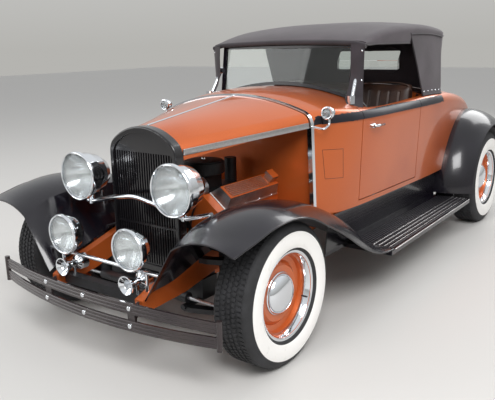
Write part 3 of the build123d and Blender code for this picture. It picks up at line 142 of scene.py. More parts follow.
def lathe(name, profile, centre, axis, steps=96):
    """A turned piece: (radius, distance along the axis) points are extruded and spun."""
    axis = Vector(axis).normalized()
    side = axis.orthogonal().normalized()
    centre = Vector(centre)
    points = [centre + side * radius + axis * along for radius, along in profile]
    deselect()
    bpy.ops.mesh.primitive_plane_add(size=0.01, location=(0, 0, 0))
    piece = take(name)
    edit()
    bpy.ops.mesh.merge(type="CENTER")
    bpy.ops.transform.translate(value=points[0])
    for before, after in zip(points, points[1:]):
        bpy.ops.mesh.extrude_region_move(TRANSFORM_OT_translate={"value": after - before})
    bpy.ops.mesh.select_all(action="SELECT")
    bpy.ops.mesh.spin(steps=steps, angle=2 * math.pi, center=centre, axis=axis)
    end_edit()
    tidy_normals(piece)
    smooth(piece)
    return piece


def surface(name, columns, rows, place):
    """A grid whose points are set by place(u, v), with u and v from 0 to 1."""
    deselect()
    bpy.ops.mesh.primitive_grid_add(x_subdivisions=columns, y_subdivisions=rows, size=1)
    piece = take(name)
    for vertex in piece.data.vertices:
        vertex.co = place(vertex.co.x + 0.5, vertex.co.y + 0.5)
    return piece


def box_piece(name, low, high, bevel=0.002, segments=3):
    """A block between two corners with rounded edges."""
    low = Vector(low)
    high = Vector(high)
    deselect()
    bpy.ops.mesh.primitive_cube_add(size=1, location=(low + high) / 2)
    piece = take(name)
    piece.scale = high - low
    apply_place(piece)
    if bevel:
        modify(piece, "BEVEL", width=bevel, segments=segments)
        smooth(piece)
    return piece


def dome(name, radius, height, centre, axis, steps=16, foot=0.0):
    """A round head, as of a carriage bolt or a snap."""
    rings = 5
    profile = [(radius, -foot), (radius, 0.0)]
    for ring in range(1, rings):
        turn = math.pi / 2 * ring / rings
        profile.append((radius * math.cos(turn), height * math.sin(turn)))
    profile.append((0.0, height))
    return lathe(name, profile, centre, axis, steps)


def join(name, pieces):
    deselect()
    for piece in pieces:
        piece.select_set(True)
    bpy.context.view_layer.objects.active = pieces[0]
    bpy.ops.object.join()
    return take(name)


def fit(piece, finish, body=CHASSIS, replaces=()):
    """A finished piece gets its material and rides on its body."""
    piece.data.materials.clear()
    piece.data.materials.append(FINISHES[finish])
    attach(piece, body)
    if replaces:
        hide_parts(*replaces)


def spread(values, count):
    """Evenly spaced steps from the first value to the second."""
    first, last = values
    return [first + (last - first) * step / (count - 1) for step in range(count)]


def wire(name, points, radius, cyclic=False, sides=3, steps=8):
    """A round bar, bead or hose that passes through its points."""
    deselect()
    bpy.ops.curve.primitive_bezier_curve_add(location=(0, 0, 0))
    piece = take(name)
    spline = piece.data.splines[0]
    spline.bezier_points.add(len(points) - len(spline.bezier_points))
    for point, place in zip(spline.bezier_points, points):
        point.co = place
        point.handle_left_type = "AUTO"
        point.handle_right_type = "AUTO"
    spline.use_cyclic_u = cyclic
    spline.resolution_u = steps
    piece.data.bevel_depth = radius
    piece.data.bevel_resolution = sides
    piece.data.use_fill_caps = not cyclic
    bpy.ops.object.convert(target="MESH")
    piece = take(name)
    smooth(piece)
    return piece


def drop_faces(piece, unwanted):
    """Deletes the faces for which unwanted(centre, normal) holds."""
    select_only(piece)
    edit("DESELECT")
    bpy.ops.mesh.select_mode(type="FACE")
    end_edit()
    for face in piece.data.polygons:
        face.select = unwanted(face.center, face.normal)
    bpy.ops.object.mode_set(mode="EDIT")
    bpy.ops.mesh.delete(type="FACE")
    bpy.ops.mesh.select_mode(type="VERT")
    end_edit()


def overlay(name, node_name, keep, thickness):
    """A skin over those faces of a node that keep(centre, normal) picks."""
    select_only(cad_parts[node_name])
    bpy.ops.object.duplicate(linked=False)
    piece = take(name)
    edit()
    bpy.ops.mesh.remove_doubles(threshold=MERGE_DISTANCE)
    end_edit()
    drop_faces(piece, lambda centre, normal: not keep(centre, normal))
    if not piece.data.polygons:
        raise RuntimeError(name + " found no face to cover")
    modify(piece, "SOLIDIFY", thickness=thickness, offset=1.0)
    smooth(piece)
    return piece


def node_tree(name):
    """A node's faces as a tree that rays can be cast at."""
    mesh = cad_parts[name].data
    corners = [vertex.co for vertex in mesh.vertices]
    return BVHTree.FromPolygons(corners, [tuple(face.vertices) for face in mesh.polygons])


def swell(piece, cap):
    """Blows a pad's cover up by cloth simulation, no point moving further than the cap."""
    modify(piece, "REMESH", mode="VOXEL", voxel_size=0.009)
    rest = [vertex.co.copy() for vertex in piece.data.vertices]
    cloth = piece.modifiers.new("swell", "CLOTH")
    cloth.settings.use_pressure = True
    cloth.settings.uniform_pressure_force = 4.0
    cloth.settings.effector_weights.gravity = 0.0
    cloth.point_cache.frame_start = 1
    cloth.point_cache.frame_end = SWELL_FRAMES
    for step in range(1, SWELL_FRAMES + 1):
        bpy.context.scene.frame_set(step)
    apply_modifiers(piece)
    for vertex, start in zip(piece.data.vertices, rest):
        moved = vertex.co - start
        if moved.length > cap:
            vertex.co = start + moved.normalized() * cap
    bpy.context.scene.frame_set(1)
    modify(piece, "SUBSURF", levels=1, render_levels=1)


def sew_channels(piece, pitch, depth, width, sewn):
    """Presses sewn channels into a pad where sewn(place, normal) is above 0."""
    # All normals are read before any point moves, because a move makes Blender work them out anew
    normals = [vertex.normal.copy() for vertex in piece.data.vertices]
    for vertex, normal in zip(piece.data.vertices, normals):
        share = sewn(vertex.co, normal)
        if share > 0:
            off = (vertex.co.x / pitch + 0.5) % 1.0 - 0.5
            groove = math.exp(-((off * pitch / width) ** 2))
            vertex.co -= normal * depth * groove * share


def upright_prism(name, outline, half):
    """A solid across the car from an outline of (y, z) points."""
    deselect()
    bpy.ops.mesh.primitive_circle_add(vertices=len(outline), radius=0.1, fill_type="NGON")
    piece = take(name)
    for vertex, (y, z) in zip(piece.data.vertices, outline):
        vertex.co = (-half, y, z)
    edit()
    bpy.ops.mesh.extrude_region_move(TRANSFORM_OT_translate={"value": (2 * half, 0, 0)})
    end_edit()
    tidy_normals(piece)
    modify(piece, "BEVEL", width=0.022, segments=4)
    return piece


# Materials


def per_mm(size):
    """The scale of a noise whose features are about that many millimetres across."""
    return 1000.0 / size


def add_node(tree, kind, inputs=None, ramp=(), **settings):
    """Adds a shader node, sets its settings and ramp stops, and sets or links its inputs."""
    node = tree.nodes.new("ShaderNode" + kind)
    for key, value in settings.items():
        setattr(node, key, value)
    for stop, (position, colour) in zip(node.color_ramp.elements if ramp else (), ramp):
        stop.position = position
        stop.color = linear(colour)
    for key, value in (inputs or {}).items():
        if isinstance(value, bpy.types.Node):
            tree.links.new(value.outputs[0], node.inputs[key])
        elif isinstance(value, bpy.types.NodeSocket):
            tree.links.new(value, node.inputs[key])
        else:
            node.inputs[key].default_value = value
    return node


def new_finish(name, **shader_values):
    """A material with its shader, its output and the place of each point in metres."""
    finish = bpy.data.materials.new(name)
    finish.use_nodes = True
    tree = finish.node_tree
    tree.nodes.clear()
    inputs = {key.replace("_", " "): value for key, value in shader_values.items()}
    shader = add_node(tree, "BsdfPrincipled", inputs)
    add_node(tree, "OutputMaterial", {"Surface": shader})
    place = add_node(tree, "TexCoord").outputs["Object"]
    return finish, tree, shader, place


def drive(tree, shader, **sources):
    """Links patterns to the shader's sockets."""
    for key, node in sources.items():
        tree.links.new(node.outputs[0], shader.inputs[key.replace("_", " ")])


def copper_lacquer(name, base, deep):
    """Metallic lacquer, sprayed over primed steel: flake under a hard wet clear coat."""
    finish, tree, shader, place = new_finish(
        name, Metallic=0.42, Roughness=0.36, Coat_Weight=0.7, Coat_Roughness=0.03, Coat_IOR=1.38
    )
    # Flake is 0.05 mm in life and is drawn at 1.6 mm so that it shows
    flakes = add_node(tree, "TexNoise", {"Vector": place, "Scale": per_mm(1.6), "Detail": 1.0})
    drift = add_node(tree, "TexNoise", {"Vector": place, "Scale": per_mm(400.0), "Detail": 1.0})
    shade = add_node(tree, "Math", {0: flakes, 1: drift}, operation="ADD")
    colour = add_node(tree, "ValToRGB", {"Fac": shade}, ramp=((0.55, deep), (1.0, base)))
    gloss = add_node(tree, "MapRange", {"Value": flakes, "To Min": 0.28, "To Max": 0.44})
    # Orange peel of sprayed coats, 6 mm across and a few hundredths deep
    peel = add_node(tree, "TexNoise", {"Vector": place, "Scale": per_mm(6.0), "Detail": 1.0})
    skin = add_node(tree, "Bump", {"Height": peel, "Distance": 0.00003, "Strength": 0.5})
    drive(tree, shader, Base_Color=colour, Roughness=gloss, Normal=skin)
    return finish


def dark_enamel(name, base, haze, roughness=0.2, coat=0.35):
    """Gloss enamel, baked on pressed steel: nearly black, with the room mirrored softly in it."""
    finish, tree, shader, place = new_finish(name, Coat_Weight=coat, Coat_Roughness=0.05, IOR=1.42)
    patches = add_node(tree, "TexNoise", {"Vector": place, "Scale": per_mm(180.0), "Detail": 3.0})
    colour = add_node(tree, "ValToRGB", {"Fac": patches}, ramp=((0.35, base), (0.7, haze)))
    gloss = add_node(
        tree, "MapRange", {"Value": patches, "To Min": roughness - 0.05, "To Max": roughness + 0.08}
    )
    peel = add_node(tree, "TexNoise", {"Vector": place, "Scale": per_mm(7.0), "Detail": 1.0})
    skin = add_node(tree, "Bump", {"Height": peel, "Distance": 0.00003, "Strength": 0.5})
    drive(tree, shader, Base_Color=colour, Roughness=gloss, Normal=skin)
    return finish


def plated(name, tint, roughness=0.04):
    """Chrome plate, buffed: a mirror with a faint wiping haze."""
    finish, tree, shader, place = new_finish(name, Metallic=1.0, Base_Color=linear(tint))
    wiping = add_node(tree, "TexNoise", {"Vector": place, "Scale": per_mm(60.0), "Detail": 4.0})
    gloss = add_node(tree, "MapRange", {"Value": wiping, "To Min": roughness, "To Max": roughness + 0.08})
    drive(tree, shader, Roughness=gloss)
    return finish


def cast_metal(name, light, dark, grain_mm=2.5, roughness=0.5, metallic=0.85, depth=0.0002):
    """Sand-cast metal: a pebbled skin, darker where stain gathers in its pits."""
    finish, tree, shader, place = new_finish(name, Metallic=metallic)
    grain = add_node(tree, "TexNoise", {"Vector": place, "Scale": per_mm(grain_mm), "Detail": 4.0})
    stain = add_node(tree, "TexNoise", {"Vector": place, "Scale": per_mm(70.0), "Detail": 3.0})
    mixed = add_node(tree, "Math", {0: grain, 1: stain}, operation="MULTIPLY")
    colour = add_node(tree, "ValToRGB", {"Fac": mixed}, ramp=((0.12, dark), (0.4, light)))
    gloss = add_node(
        tree, "MapRange", {"Value": stain, "To Min": roughness - 0.1, "To Max": roughness + 0.15}
    )
    skin = add_node(tree, "Bump", {"Height": grain, "Distance": depth, "Strength": 0.6})
    drive(tree, shader, Base_Color=colour, Roughness=gloss, Normal=skin)
    return finish


def brushed(name, light, dark, roughness=0.3):
    """Rolled stainless steel, brushed: fine lines along the strip that stretch its highlights."""
    finish, tree, shader, place = new_finish(name, Metallic=1.0)
    lines = add_node(tree, "Mapping", {"Vector": place, "Scale": (1.0, 0.04, 1.0)})
    strokes = add_node(tree, "TexNoise", {"Vector": lines, "Scale": per_mm(1.6), "Detail": 3.0})
    colour = add_node(tree, "ValToRGB", {"Fac": strokes}, ramp=((0.3, dark), (0.7, light)))
    gloss = add_node(
        tree, "MapRange", {"Value": strokes, "To Min": roughness - 0.08, "To Max": roughness + 0.1}
    )
    drive(tree, shader, Base_Color=colour, Roughness=gloss)
    return finish


def rubber(name, base, dusty, roughness=0.75, grain_mm=1.6):
    """Vulcanised rubber, moulded: matt, greyed by dust in broad patches."""
    finish, tree, shader, place = new_finish(name, IOR=1.52)
    dust = add_node(
        tree, "TexNoise", {"Vector": place, "Scale": per_mm(90.0), "Detail": 5.0, "Roughness": 0.65}
    )
    colour = add_node(tree, "ValToRGB", {"Fac": dust}, ramp=((0.4, base), (0.75, dusty)))
    gloss = add_node(
        tree, "MapRange", {"Value": dust, "To Min": roughness - 0.12, "To Max": roughness + 0.12}
    )
    grain = add_node(tree, "TexNoise", {"Vector": place, "Scale": per_mm(grain_mm), "Detail": 3.0})
    skin = add_node(tree, "Bump", {"Height": grain, "Distance": 0.00025, "Strength": 0.5})
    drive(tree, shader, Base_Color=colour, Roughness=gloss, Normal=skin)
    return finish


def whitewall_rubber(name, base, scuffed):
    """White sidewall rubber, buffed: a soft even white with a few grey scuffs."""
    finish, tree, shader, place = new_finish(name, Roughness=0.5, IOR=1.52)
    scuffs = add_node(
        tree, "TexNoise", {"Vector": place, "Scale": per_mm(45.0), "Detail": 6.0, "Roughness": 0.7}
    )
    colour = add_node(tree, "ValToRGB", {"Fac": scuffs}, ramp=((0.6, base), (0.88, scuffed)))
    grain = add_node(tree, "TexNoise", {"Vector": place, "Scale": per_mm(4.0), "Detail": 3.0})
    skin = add_node(tree, "Bump", {"Height": grain, "Distance": 0.00012, "Strength": 0.4})
    drive(tree, shader, Base_Color=colour, Normal=skin)
    return finish


def canvas_cloth(name, base, light):
    """Coated cotton top cloth, woven: a fine crossed weave with a dull sheen."""
    finish, tree, shader, place = new_finish(name, Roughness=0.8, Sheen_Weight=0.2, Sheen_Roughness=0.5)
    # The threads are 0.8 mm apart in life and are drawn 3 mm apart, at scale 105, so that they show
    across, along, upright = [
        add_node(tree, "TexWave", {"Vector": place, "Scale": 105.0, "Distortion": 0.6}, bands_direction=axis)
        for axis in "XYZ"
    ]
    weave = add_node(tree, "Math", {0: across, 1: along}, operation="MULTIPLY")
    weave = add_node(tree, "Math", {0: weave, 1: upright}, operation="ADD")
    fade = add_node(tree, "TexNoise", {"Vector": place, "Scale": per_mm(160.0), "Detail": 4.0})
    colour = add_node(tree, "ValToRGB", {"Fac": fade}, ramp=((0.35, base), (0.75, light)))
    skin = add_node(tree, "Bump", {"Height": weave, "Distance": 0.0002, "Strength": 0.3})
    drive(tree, shader, Base_Color=colour, Normal=skin)
    return finish


def hide_leather(name, base, worn):
    """Dyed upholstery hide: pebbled grain, paler and glossier where it is sat on."""
    finish, tree, shader, place = new_finish(name, IOR=1.5)
    grain = add_node(tree, "TexVoronoi", {"Vector": place, "Scale": per_mm(3.0)})
    wear = add_node(tree, "TexNoise", {"Vector": place, "Scale": per_mm(120.0), "Detail": 4.0})
    colour = add_node(tree, "ValToRGB", {"Fac": wear}, ramp=((0.4, base), (0.8, worn)))
    gloss = add_node(tree, "MapRange", {"Value": wear, "To Min": 0.42, "To Max": 0.6})
    skin = add_node(tree, "Bump", {"Height": grain, "Distance": 0.0003, "Strength": 0.4})
    drive(tree, shader, Base_Color=colour, Roughness=gloss, Normal=skin)
    return finish


def loop_carpet(name, base, light):
    """Wool loop carpet: rows of small loops, each with a painted highlight on its top."""
    finish, tree, shader, place = new_finish(name, Roughness=0.95, Sheen_Weight=0.4, Sheen_Roughness=0.6)
    # Loops are 3 mm apart in life and are drawn 5 mm apart
    loops = add_node(tree, "TexVoronoi", {"Vector": place, "Scale": per_mm(5.0)})
    # The light colour is a painted highlight on the top of each loop, where the bump raises it; the base
    # colour is the carpet's own
    colour = add_node(tree, "ValToRGB", {"Fac": loops}, ramp=((0.1, light), (0.6, base)))
    skin = add_node(tree, "Bump", {"Height": loops, "Distance": 0.002, "Strength": 0.6}, invert=True)
    drive(tree, shader, Base_Color=colour, Normal=skin)
    return finish


def clear_glass(name, tint):
    """Flat safety glass, polished: clear, seen by its reflections and a faint smear."""
    finish, tree, shader, place = new_finish(name, Base_Color=linear(tint), IOR=1.45, Transmission_Weight=1.0)
    smear = add_node(tree, "TexNoise", {"Vector": place, "Scale": per_mm(90.0), "Detail": 3.0})
    gloss = add_node(tree, "MapRange", {"Value": smear, "To Min": 0.0, "To Max": 0.03})
    drive(tree, shader, Roughness=gloss)
    return finish


def fluted_glass(name, tint, pitch_mm, clear=0.9):
    """Pressed lamp glass: upright flutes break what lies behind into bars."""
    finish, tree, shader, place = new_finish(
        name, Base_Color=linear(tint), IOR=1.5, Roughness=0.03, Transmission_Weight=clear
    )
    # A wave texture of scale s repeats every 1 / (3.18 s) of a metre
    flutes = add_node(
        tree, "TexWave", {"Vector": place, "Scale": per_mm(pitch_mm) / 3.18}, bands_direction="X"
    )
    skin = add_node(tree, "Bump", {"Height": flutes, "Distance": 0.0008, "Strength": 0.6})
    drive(tree, shader, Normal=skin)
    return finish


def make_finishes():
    """Every finish of the car by name."""
    return {
        "copper": copper_lacquer("copper metallic lacquer", "c8622a", "ad4c1c"),
        "enamel": dark_enamel("aubergine black enamel", "100e15", "17141c"),
        "belt": dark_enamel("belt enamel", "12121a", "1c1c26", 0.4, 0.0),
        "bumper": dark_enamel("umber bumper enamel", "2b2326", "38302f", 0.16),
        "shell": dark_enamel("radiator shell enamel", "121114", "1a181a"),
        "chrome": plated("chrome plate", "dfe2e6"),
        "mirror": plated("silvered reflector", "eef0f2", 0.02),
        "satin": brushed("brushed stainless steel", "c9c7c6", "8f8c8c"),
        "alloy": cast_metal("polished cast aluminium", "cfd1d4", "8d9094", 3.0, 0.3, 1.0, 0.0001),
        "iron": cast_metal("cast iron", "55524f", "26231f"),
        "engine black": cast_metal("sooted cast iron", "2b2a2c", "101011", 4.0, 0.5, 0.4),
        "frame black": cast_metal("satin chassis black", "26262a", "121214", 5.0, 0.42, 0.1, 0.0001),
        "tyre": rubber("tyre rubber", "1b1b1d", "333336"),
        "mat": rubber("ribbed board rubber", "15141a", "26242a", 0.5),
        "hose": rubber("hose rubber", "121214", "1e1e20", 0.5, 3.0),
        "white": whitewall_rubber("whitewall rubber", "f2f0ed", "c9c6c0"),
        "canvas": canvas_cloth("coated top canvas", "31282e", "41373e"),
        "binding": canvas_cloth("canvas binding tape", "1d181d", "332b31"),
        "hide": hide_leather("chestnut hide", "33201a", "553a2c"),
        # The carpet's second colour is the painted highlight on the tops of its loops
        "carpet": loop_carpet("tan loop carpet", "2f2019", "57402f"),
        "glass": clear_glass("windshield safety glass", "eef4f2"),
        "lens": fluted_glass("fluted lamp glass", "f2f5f5", 8.0),
        "red": fluted_glass("red lamp glass", "b0100c", 5.0, 0.6),
        "core": cast_metal("radiator core black", "202022", "0b0b0c", 3.0, 0.6, 0.2, 0.0008),
        "plastic": dark_enamel("moulded black wheel rim", "101012", "18181a"),
        "dial": dark_enamel("cream dial card", "d8cfb8", "c8bda3", 0.5),
    }


FINISHES = make_finishes()

# CAD node to finish
NODE_FINISH = {
    "copper": (
        "cowl", "body_tub", "door_left", "door_right", "rumble_lid", "hood_left", "hood_right",
        "frame_rails", "wheel_front_left", "wheel_front_right", "wheel_rear_left", "wheel_rear_right",
        "engine_block",
    ),
    "enamel": ("front_fenders", "rear_fenders", "running_boards", "windshield_frame"),
    "bumper": ("front_bumper", "rear_bumper"),
    "shell": ("radiator_shell", "radiator_grille"),
    "chrome": (
        "hood_stays", "headlamps", "fog_lamps", "horns", "windshield_posts", "cowl_band", "cowl_lamps",
        "headlamp_bar", "tail_lamps",
    ),
    "alloy": ("valve_covers", "engine_drive", "tie_rods"),
    "iron": ("knuckle_left", "knuckle_right", "exhaust"),
    "engine black": ("intake", "fan"),
    "frame black": (
        "frame_cross_members", "front_suspension", "rear_axle", "rear_springs", "fuel_tank", "dashboard",
    ),
    "core": ("radiator_core",),
    "lens": ("lamp_lenses",),
    "glass": ("windshield_glass", "rear_window"),
    "plastic": ("steering_wheel",),
    "canvas": ("soft_top",),
    "hide": ("seat_front", "seat_rumble"),
    "tyre": ("tyre_front_left", "tyre_front_right", "tyre_rear_left", "tyre_rear_right"),
}


class RoadsterSizes(bpy.types.PropertyGroup):
    lens: FloatProperty(
        name="Lens", description="Focal length of the camera in millimetres", default=46.0, min=10.0
    )
    floor_size: FloatProperty(name="Floor", description="Width of the floor", default=60.0, unit="LENGTH")
    tread_pitches: IntProperty(
        name="Tread pitches", description="How often the tread repeats round a tyre", default=92, min=24
    )
    white_inner: FloatProperty(
        name="White inner", description="Inner radius of the white sidewall", default=0.2185, unit="LENGTH"
    )
    white_outer: FloatProperty(
        name="White outer",
        description="Outer radius of the front white sidewall",
        default=0.2927,
        unit="LENGTH",
    )
    board_ribs: IntProperty(name="Board ribs", description="Ribs of a running board's mat", default=14, min=2)
    channel_pitch: FloatProperty(
        name="Channels", description="Distance between the seat's sewn channels", default=0.074, unit="LENGTH"
    )


class RoadsterColours(bpy.types.PropertyGroup):
    floor: FloatVectorProperty(
        name="Floor", description="Colour of the floor", subtype="COLOR", size=4, default=linear("cfcdca")
    )


# The camera as solved from the photo: its place in metres, then yaw, pitch and roll in radians
CAMERA_PLACE = (2.2184, -3.7718, 1.4206)
CAMERA_TURN = (0.647, 0.2413, -0.0224)
# Name, energy, size, place and target of each area light
LIGHTS = (
    ("key", 520.0, 3.5, (4.5, -5.0, 6.0), (0.0, -0.4, 0.6)),
    ("fill", 160.0, 5.0, (-5.5, -5.0, 3.5), (0.0, 0.0, 0.6)),
    ("back", 220.0, 4.0, (1.0, 6.0, 5.0), (0.0, 0.0, 0.8)),
)


class ROADSTER_OT_stage(bpy.types.Operator):
    """Sets the floor, the light and the camera"""

    bl_idname = "roadster.stage"
    bl_label = "Stage"

    def execute(self, context):
        scene = context.scene
        deselect()
        bpy.ops.mesh.primitive_grid_add(
            x_subdivisions=8, y_subdivisions=8, size=scene.roadster_sizes.floor_size
        )
        floor = take("studio_floor")
        # Just under the tyres, so that no two faces share a plane
        floor.location.z = -0.0005
        paper = new_finish("studio floor paper", Roughness=0.7, Base_Color=scene.roadster_colours.floor)[0]
        floor.data.materials.append(paper)
        world = bpy.data.worlds.new("studio")
        world.use_nodes = True
        tree = world.node_tree
        tree.nodes.clear()
        # A pale room whose upper half is brighter, darker low down so that metal has a horizon
        direction = add_node(tree, "TexCoord").outputs["Generated"]
        height = add_node(tree, "SeparateXYZ", {"Vector": direction}).outputs["Z"]
        room = add_node(tree, "ValToRGB", {"Fac": height}, ramp=((0.0, "b9b8b4"), (0.55, "f4f6f8")))
        rays = add_node(tree, "LightPath").outputs
        either = {0: rays["Is Camera Ray"], 1: rays["Is Glossy Ray"]}
        seen = add_node(tree, "Math", either, operation="MAXIMUM")
        strength = add_node(tree, "MapRange", {"Value": seen, "To Min": 0.62, "To Max": 0.95})
        light = add_node(tree, "Background", {"Color": room, "Strength": strength})
        add_node(tree, "OutputWorld", {"Surface": light})
        scene.world = world
        for name, energy, size, place, target in LIGHTS:
            aim = (Vector(target) - Vector(place)).to_track_quat("-Z", "Y").to_euler()
            bpy.ops.object.light_add(type="AREA", location=place, rotation=aim)
            lamp = take(name)
            lamp.data.energy = energy
            lamp.data.size = size
        yaw, pitch, roll = CAMERA_TURN
        back = Vector((math.sin(yaw) * math.cos(pitch), -math.cos(yaw) * math.cos(pitch), math.sin(pitch)))
        right = Vector((math.cos(yaw), math.sin(yaw), 0.0))
        up = back.cross(right)
        turned_right = right * math.cos(roll) + up * math.sin(roll)
        turned_up = up * math.cos(roll) - right * math.sin(roll)
        turn = Matrix((turned_right, turned_up, back)).transposed()
        bpy.ops.object.camera_add(location=CAMERA_PLACE, rotation=turn.to_euler())
        camera = take("camera")
        camera.data.lens = scene.roadster_sizes.lens
        camera.data.sensor_width = 36.0
        camera.data.clip_end = 200.0
        scene.camera = camera
        scene.view_settings.view_transform = "Standard"
        return {"FINISHED"}


class ROADSTER_OT_finishes(bpy.types.Operator):
    """Paints and plates the pieces that the frame brings"""

    bl_idname = "roadster.finishes"
    bl_label = "Finishes"

    def execute(self, context):
        for finish, names in NODE_FINISH.items():
            for name in names:
                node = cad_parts[name]
                for material_slot in node.material_slots:
                    material_slot.material = FINISHES[finish]
        return {"FINISHED"}


# Part of the way from the bead to the tread, and how far in from the widest point
SIDEWALL = (
    (0.0, 0.028), (0.04, 0.016), (0.12, 0.008), (0.24, 0.0025), (0.39, 0.0), (0.56, 0.0006),
    (0.70, 0.0038), (0.78, 0.0078), (0.86, 0.0132), (0.93, 0.0205), (0.965, 0.0275), (0.985, 0.0355),
)
BEAD_RADIUS = 0.2005
TYRE_STEPS = 120
GROOVE_DEPTH = 0.0062
# A tread block's height, and how far its middle lies below the tyre's radius
BLOCK_HEIGHT = 0.0085
BLOCK_DEPTH = 0.0046


def wall_point(part, half, radius, proud=0.0):
    """A point of the tyre's side, as its radius and its distance from the middle."""
    for (low, inset_low), (high, inset_high) in zip(SIDEWALL, SIDEWALL[1:]):
        if part <= high:
            share = (part - low) / (high - low)
            inset = inset_low + (inset_high - inset_low) * share
            break
    return BEAD_RADIUS + (radius - BEAD_RADIUS) * part, half - inset + proud


def wheel_facts(end, side):
    """A wheel's name and body, and the middle, half width and radius of its tyre."""
    name = end + "_" + side
    low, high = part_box("tyre_" + name)
    centre = (Vector(low) + Vector(high)) / 2
    return name, "wheel_" + name + "_hub", centre, (high[0] - low[0]) / 2, (high[2] - low[2]) / 2


def tread(name, centre, half, radius, pitches):
    """One pitch of five ribs, spun round the tyre."""
    pitch = 2 * math.pi * radius / pitches
    # Place across, width, length as a part of the pitch, lag, turn in degrees
    ribs = [
        (-half + 0.044, 0.026, 0.72, 0.0, 8.0),
        (-0.026, 0.018, 0.8, 0.5, -18.0),
        (0.0, 0.016, 0.82, 0.0, 18.0),
        (0.026, 0.018, 0.8, 0.5, -18.0),
        (half - 0.044, 0.026, 0.72, 0.0, -8.0),
    ]
    blocks = []
    for across, width, part, lag, turn in ribs:
        deselect()
        place = (centre.x + across, centre.y + lag * pitch, centre.z + radius - BLOCK_DEPTH)
        bpy.ops.mesh.primitive_cube_add(size=1, location=place, rotation=(0, 0, math.radians(turn)))
        block = take(name)
        block.scale = (width, pitch * part, BLOCK_HEIGHT)
        apply_place(block)
        edit("DESELECT")
        end_edit()
        for face in block.data.polygons:
            face.select = face.normal.z > 0.9
        bpy.ops.object.mode_set(mode="EDIT")
        bpy.ops.transform.resize(value=(0.86, 0.86, 1.0))
        end_edit()
        blocks.append(block)
    piece = join(name, blocks)
    edit()
    bpy.ops.mesh.spin(
        steps=pitches - 1,
        dupli=True,
        angle=2 * math.pi * (pitches - 1) / pitches,
        center=centre,
        axis=(1, 0, 0),
    )
    bpy.ops.mesh.select_all(action="SELECT")
    bpy.ops.mesh.normals_make_consistent(inside=False)
    end_edit()
    return piece


class ROADSTER_OT_tyres(bpy.types.Operator):
    """Moulds the four tyres with their tread blocks and white sidewalls"""

    bl_idname = "roadster.tyres"
    bl_label = "Tyres"

    def execute(self, context):
        sizes = context.scene.roadster_sizes
        for end, side in CORNERS:
            name, body, centre, half, radius = wheel_facts(end, side)
            outwards = (SIDES[side], 0, 0)
            inner = [wall_point(part, half, radius) for part, inset in SIDEWALL]
            floor = radius - GROOVE_DEPTH
            bead = BEAD_RADIUS - 0.0015
            profile = [(r, -along) for r, along in inner]
            profile += [(floor, -half + 0.038), (floor, half - 0.038)]
            profile += [(r, along) for r, along in reversed(inner)]
            profile += [(bead, half - 0.034), (bead, -half + 0.034)]
            profile.append(profile[0])
            casing = lathe("tyre_casing_" + name, profile, centre, outwards, TYRE_STEPS)
            blocks = tread("tyre_tread_" + name, centre, half, radius, sizes.tread_pitches)
            piece = join("tyre_rubber_" + name, [casing, blocks])
            fit(piece, "tyre", body, ("tyre_" + name,))
            outer = sizes.white_outer if end == "front" else sizes.white_outer + 0.013
            reach = radius - BEAD_RADIUS
            parts = spread([(edge - BEAD_RADIUS) / reach for edge in (sizes.white_inner, outer)], 14)
            face = [wall_point(part, half, radius, 0.0016) for part in parts]
            back = [wall_point(part, half, radius, -0.001) for part in (parts[-1], parts[0])]
            band = lathe("whitewall_" + name, face + back + face[:1], centre, outwards, TYRE_STEPS)
            fit(band, "white", body)
        return {"FINISHED"}


# Radius, distance out from the wheel's middle
TRIM_RING = (
    (0.1795, 0.0430), (0.1815, 0.0475), (0.1822, 0.0530), (0.1868, 0.0600), (0.1872, 0.0680),
    (0.1905, 0.0765), (0.1945, 0.0822), (0.2000, 0.0847), (0.2055, 0.0849), (0.2092, 0.0832),
    (0.2096, 0.0815), (0.2050, 0.0822), (0.1985, 0.0818), (0.1932, 0.0795), (0.1888, 0.0730),
    (0.1856, 0.0640), (0.1808, 0.0560), (0.1800, 0.0480), (0.1795, 0.0430),
)
HUB_CAP = (
    (0.0955, 0.0290), (0.0985, 0.0300), (0.1000, 0.0325), (0.0985, 0.0352), (0.0962, 0.0365),
    (0.0955, 0.0400), (0.0930, 0.0452), (0.0868, 0.0530), (0.0775, 0.0606), (0.0650, 0.0672),
    (0.0500, 0.0720), (0.0330, 0.0751), (0.0160, 0.0766), (0.0, 0.0770),
)


class ROADSTER_OT_wheel_trim(bpy.types.Operator):
    """Spins the bright rings and the domed caps of the wheels"""

    bl_idname = "roadster.wheel_trim"
    bl_label = "Wheel trim"

    def execute(self, context):
        for end, side in CORNERS:
            name, body, centre = wheel_facts(end, side)[:3]
            wider = 0.0 if end == "front" else 0.004
            outwards = (SIDES[side], 0, 0)
            ring = [(r, along + wider) for r, along in TRIM_RING]
            fit(lathe("trim_ring_" + name, ring, centre, outwards, 96), "chrome", body)
            fit(lathe("hub_cap_" + name, HUB_CAP, centre, outwards, 72), "chrome", body)
            valve = centre + Vector((SIDES[side] * (0.070 + wider), 0.168, -0.066))
            stem = dome("valve_stem_" + name, 0.0042, 0.006, valve, outwards, 10, 0.026)
            fit(stem, "hose", body)
        return {"FINISHED"}


# Lamp name: x, front of the rim, height, rim radius, depth of the reflector
LAMPS = {
    "headlamp": (0.318, -1.815, 0.801, 0.122, 0.085),
    "fog_lamp": (0.223, -2.005, 0.563, 0.096, 0.050),
}
BACK = (0, 1, 0)
# Profiles of a rim and a bulb: away from the lamp's radius or axis, and back from the lamp's front
LAMP_RIM = (
    (-0.0085, -0.0008), (-0.0082, -0.0046), (-0.0055, -0.0068), (-0.0018, -0.0062), (0.0014, -0.0030),
    (0.0024, 0.0015), (0.0024, 0.0100), (0.0008, 0.0122), (-0.0005, 0.0100), (-0.0005, -0.0008),
    (-0.0085, -0.0008),
)
LAMP_BULB = ((0.0, 0.020), (0.006, 0.022), (0.009, 0.028), (0.009, 0.036), (0.006, 0.044))
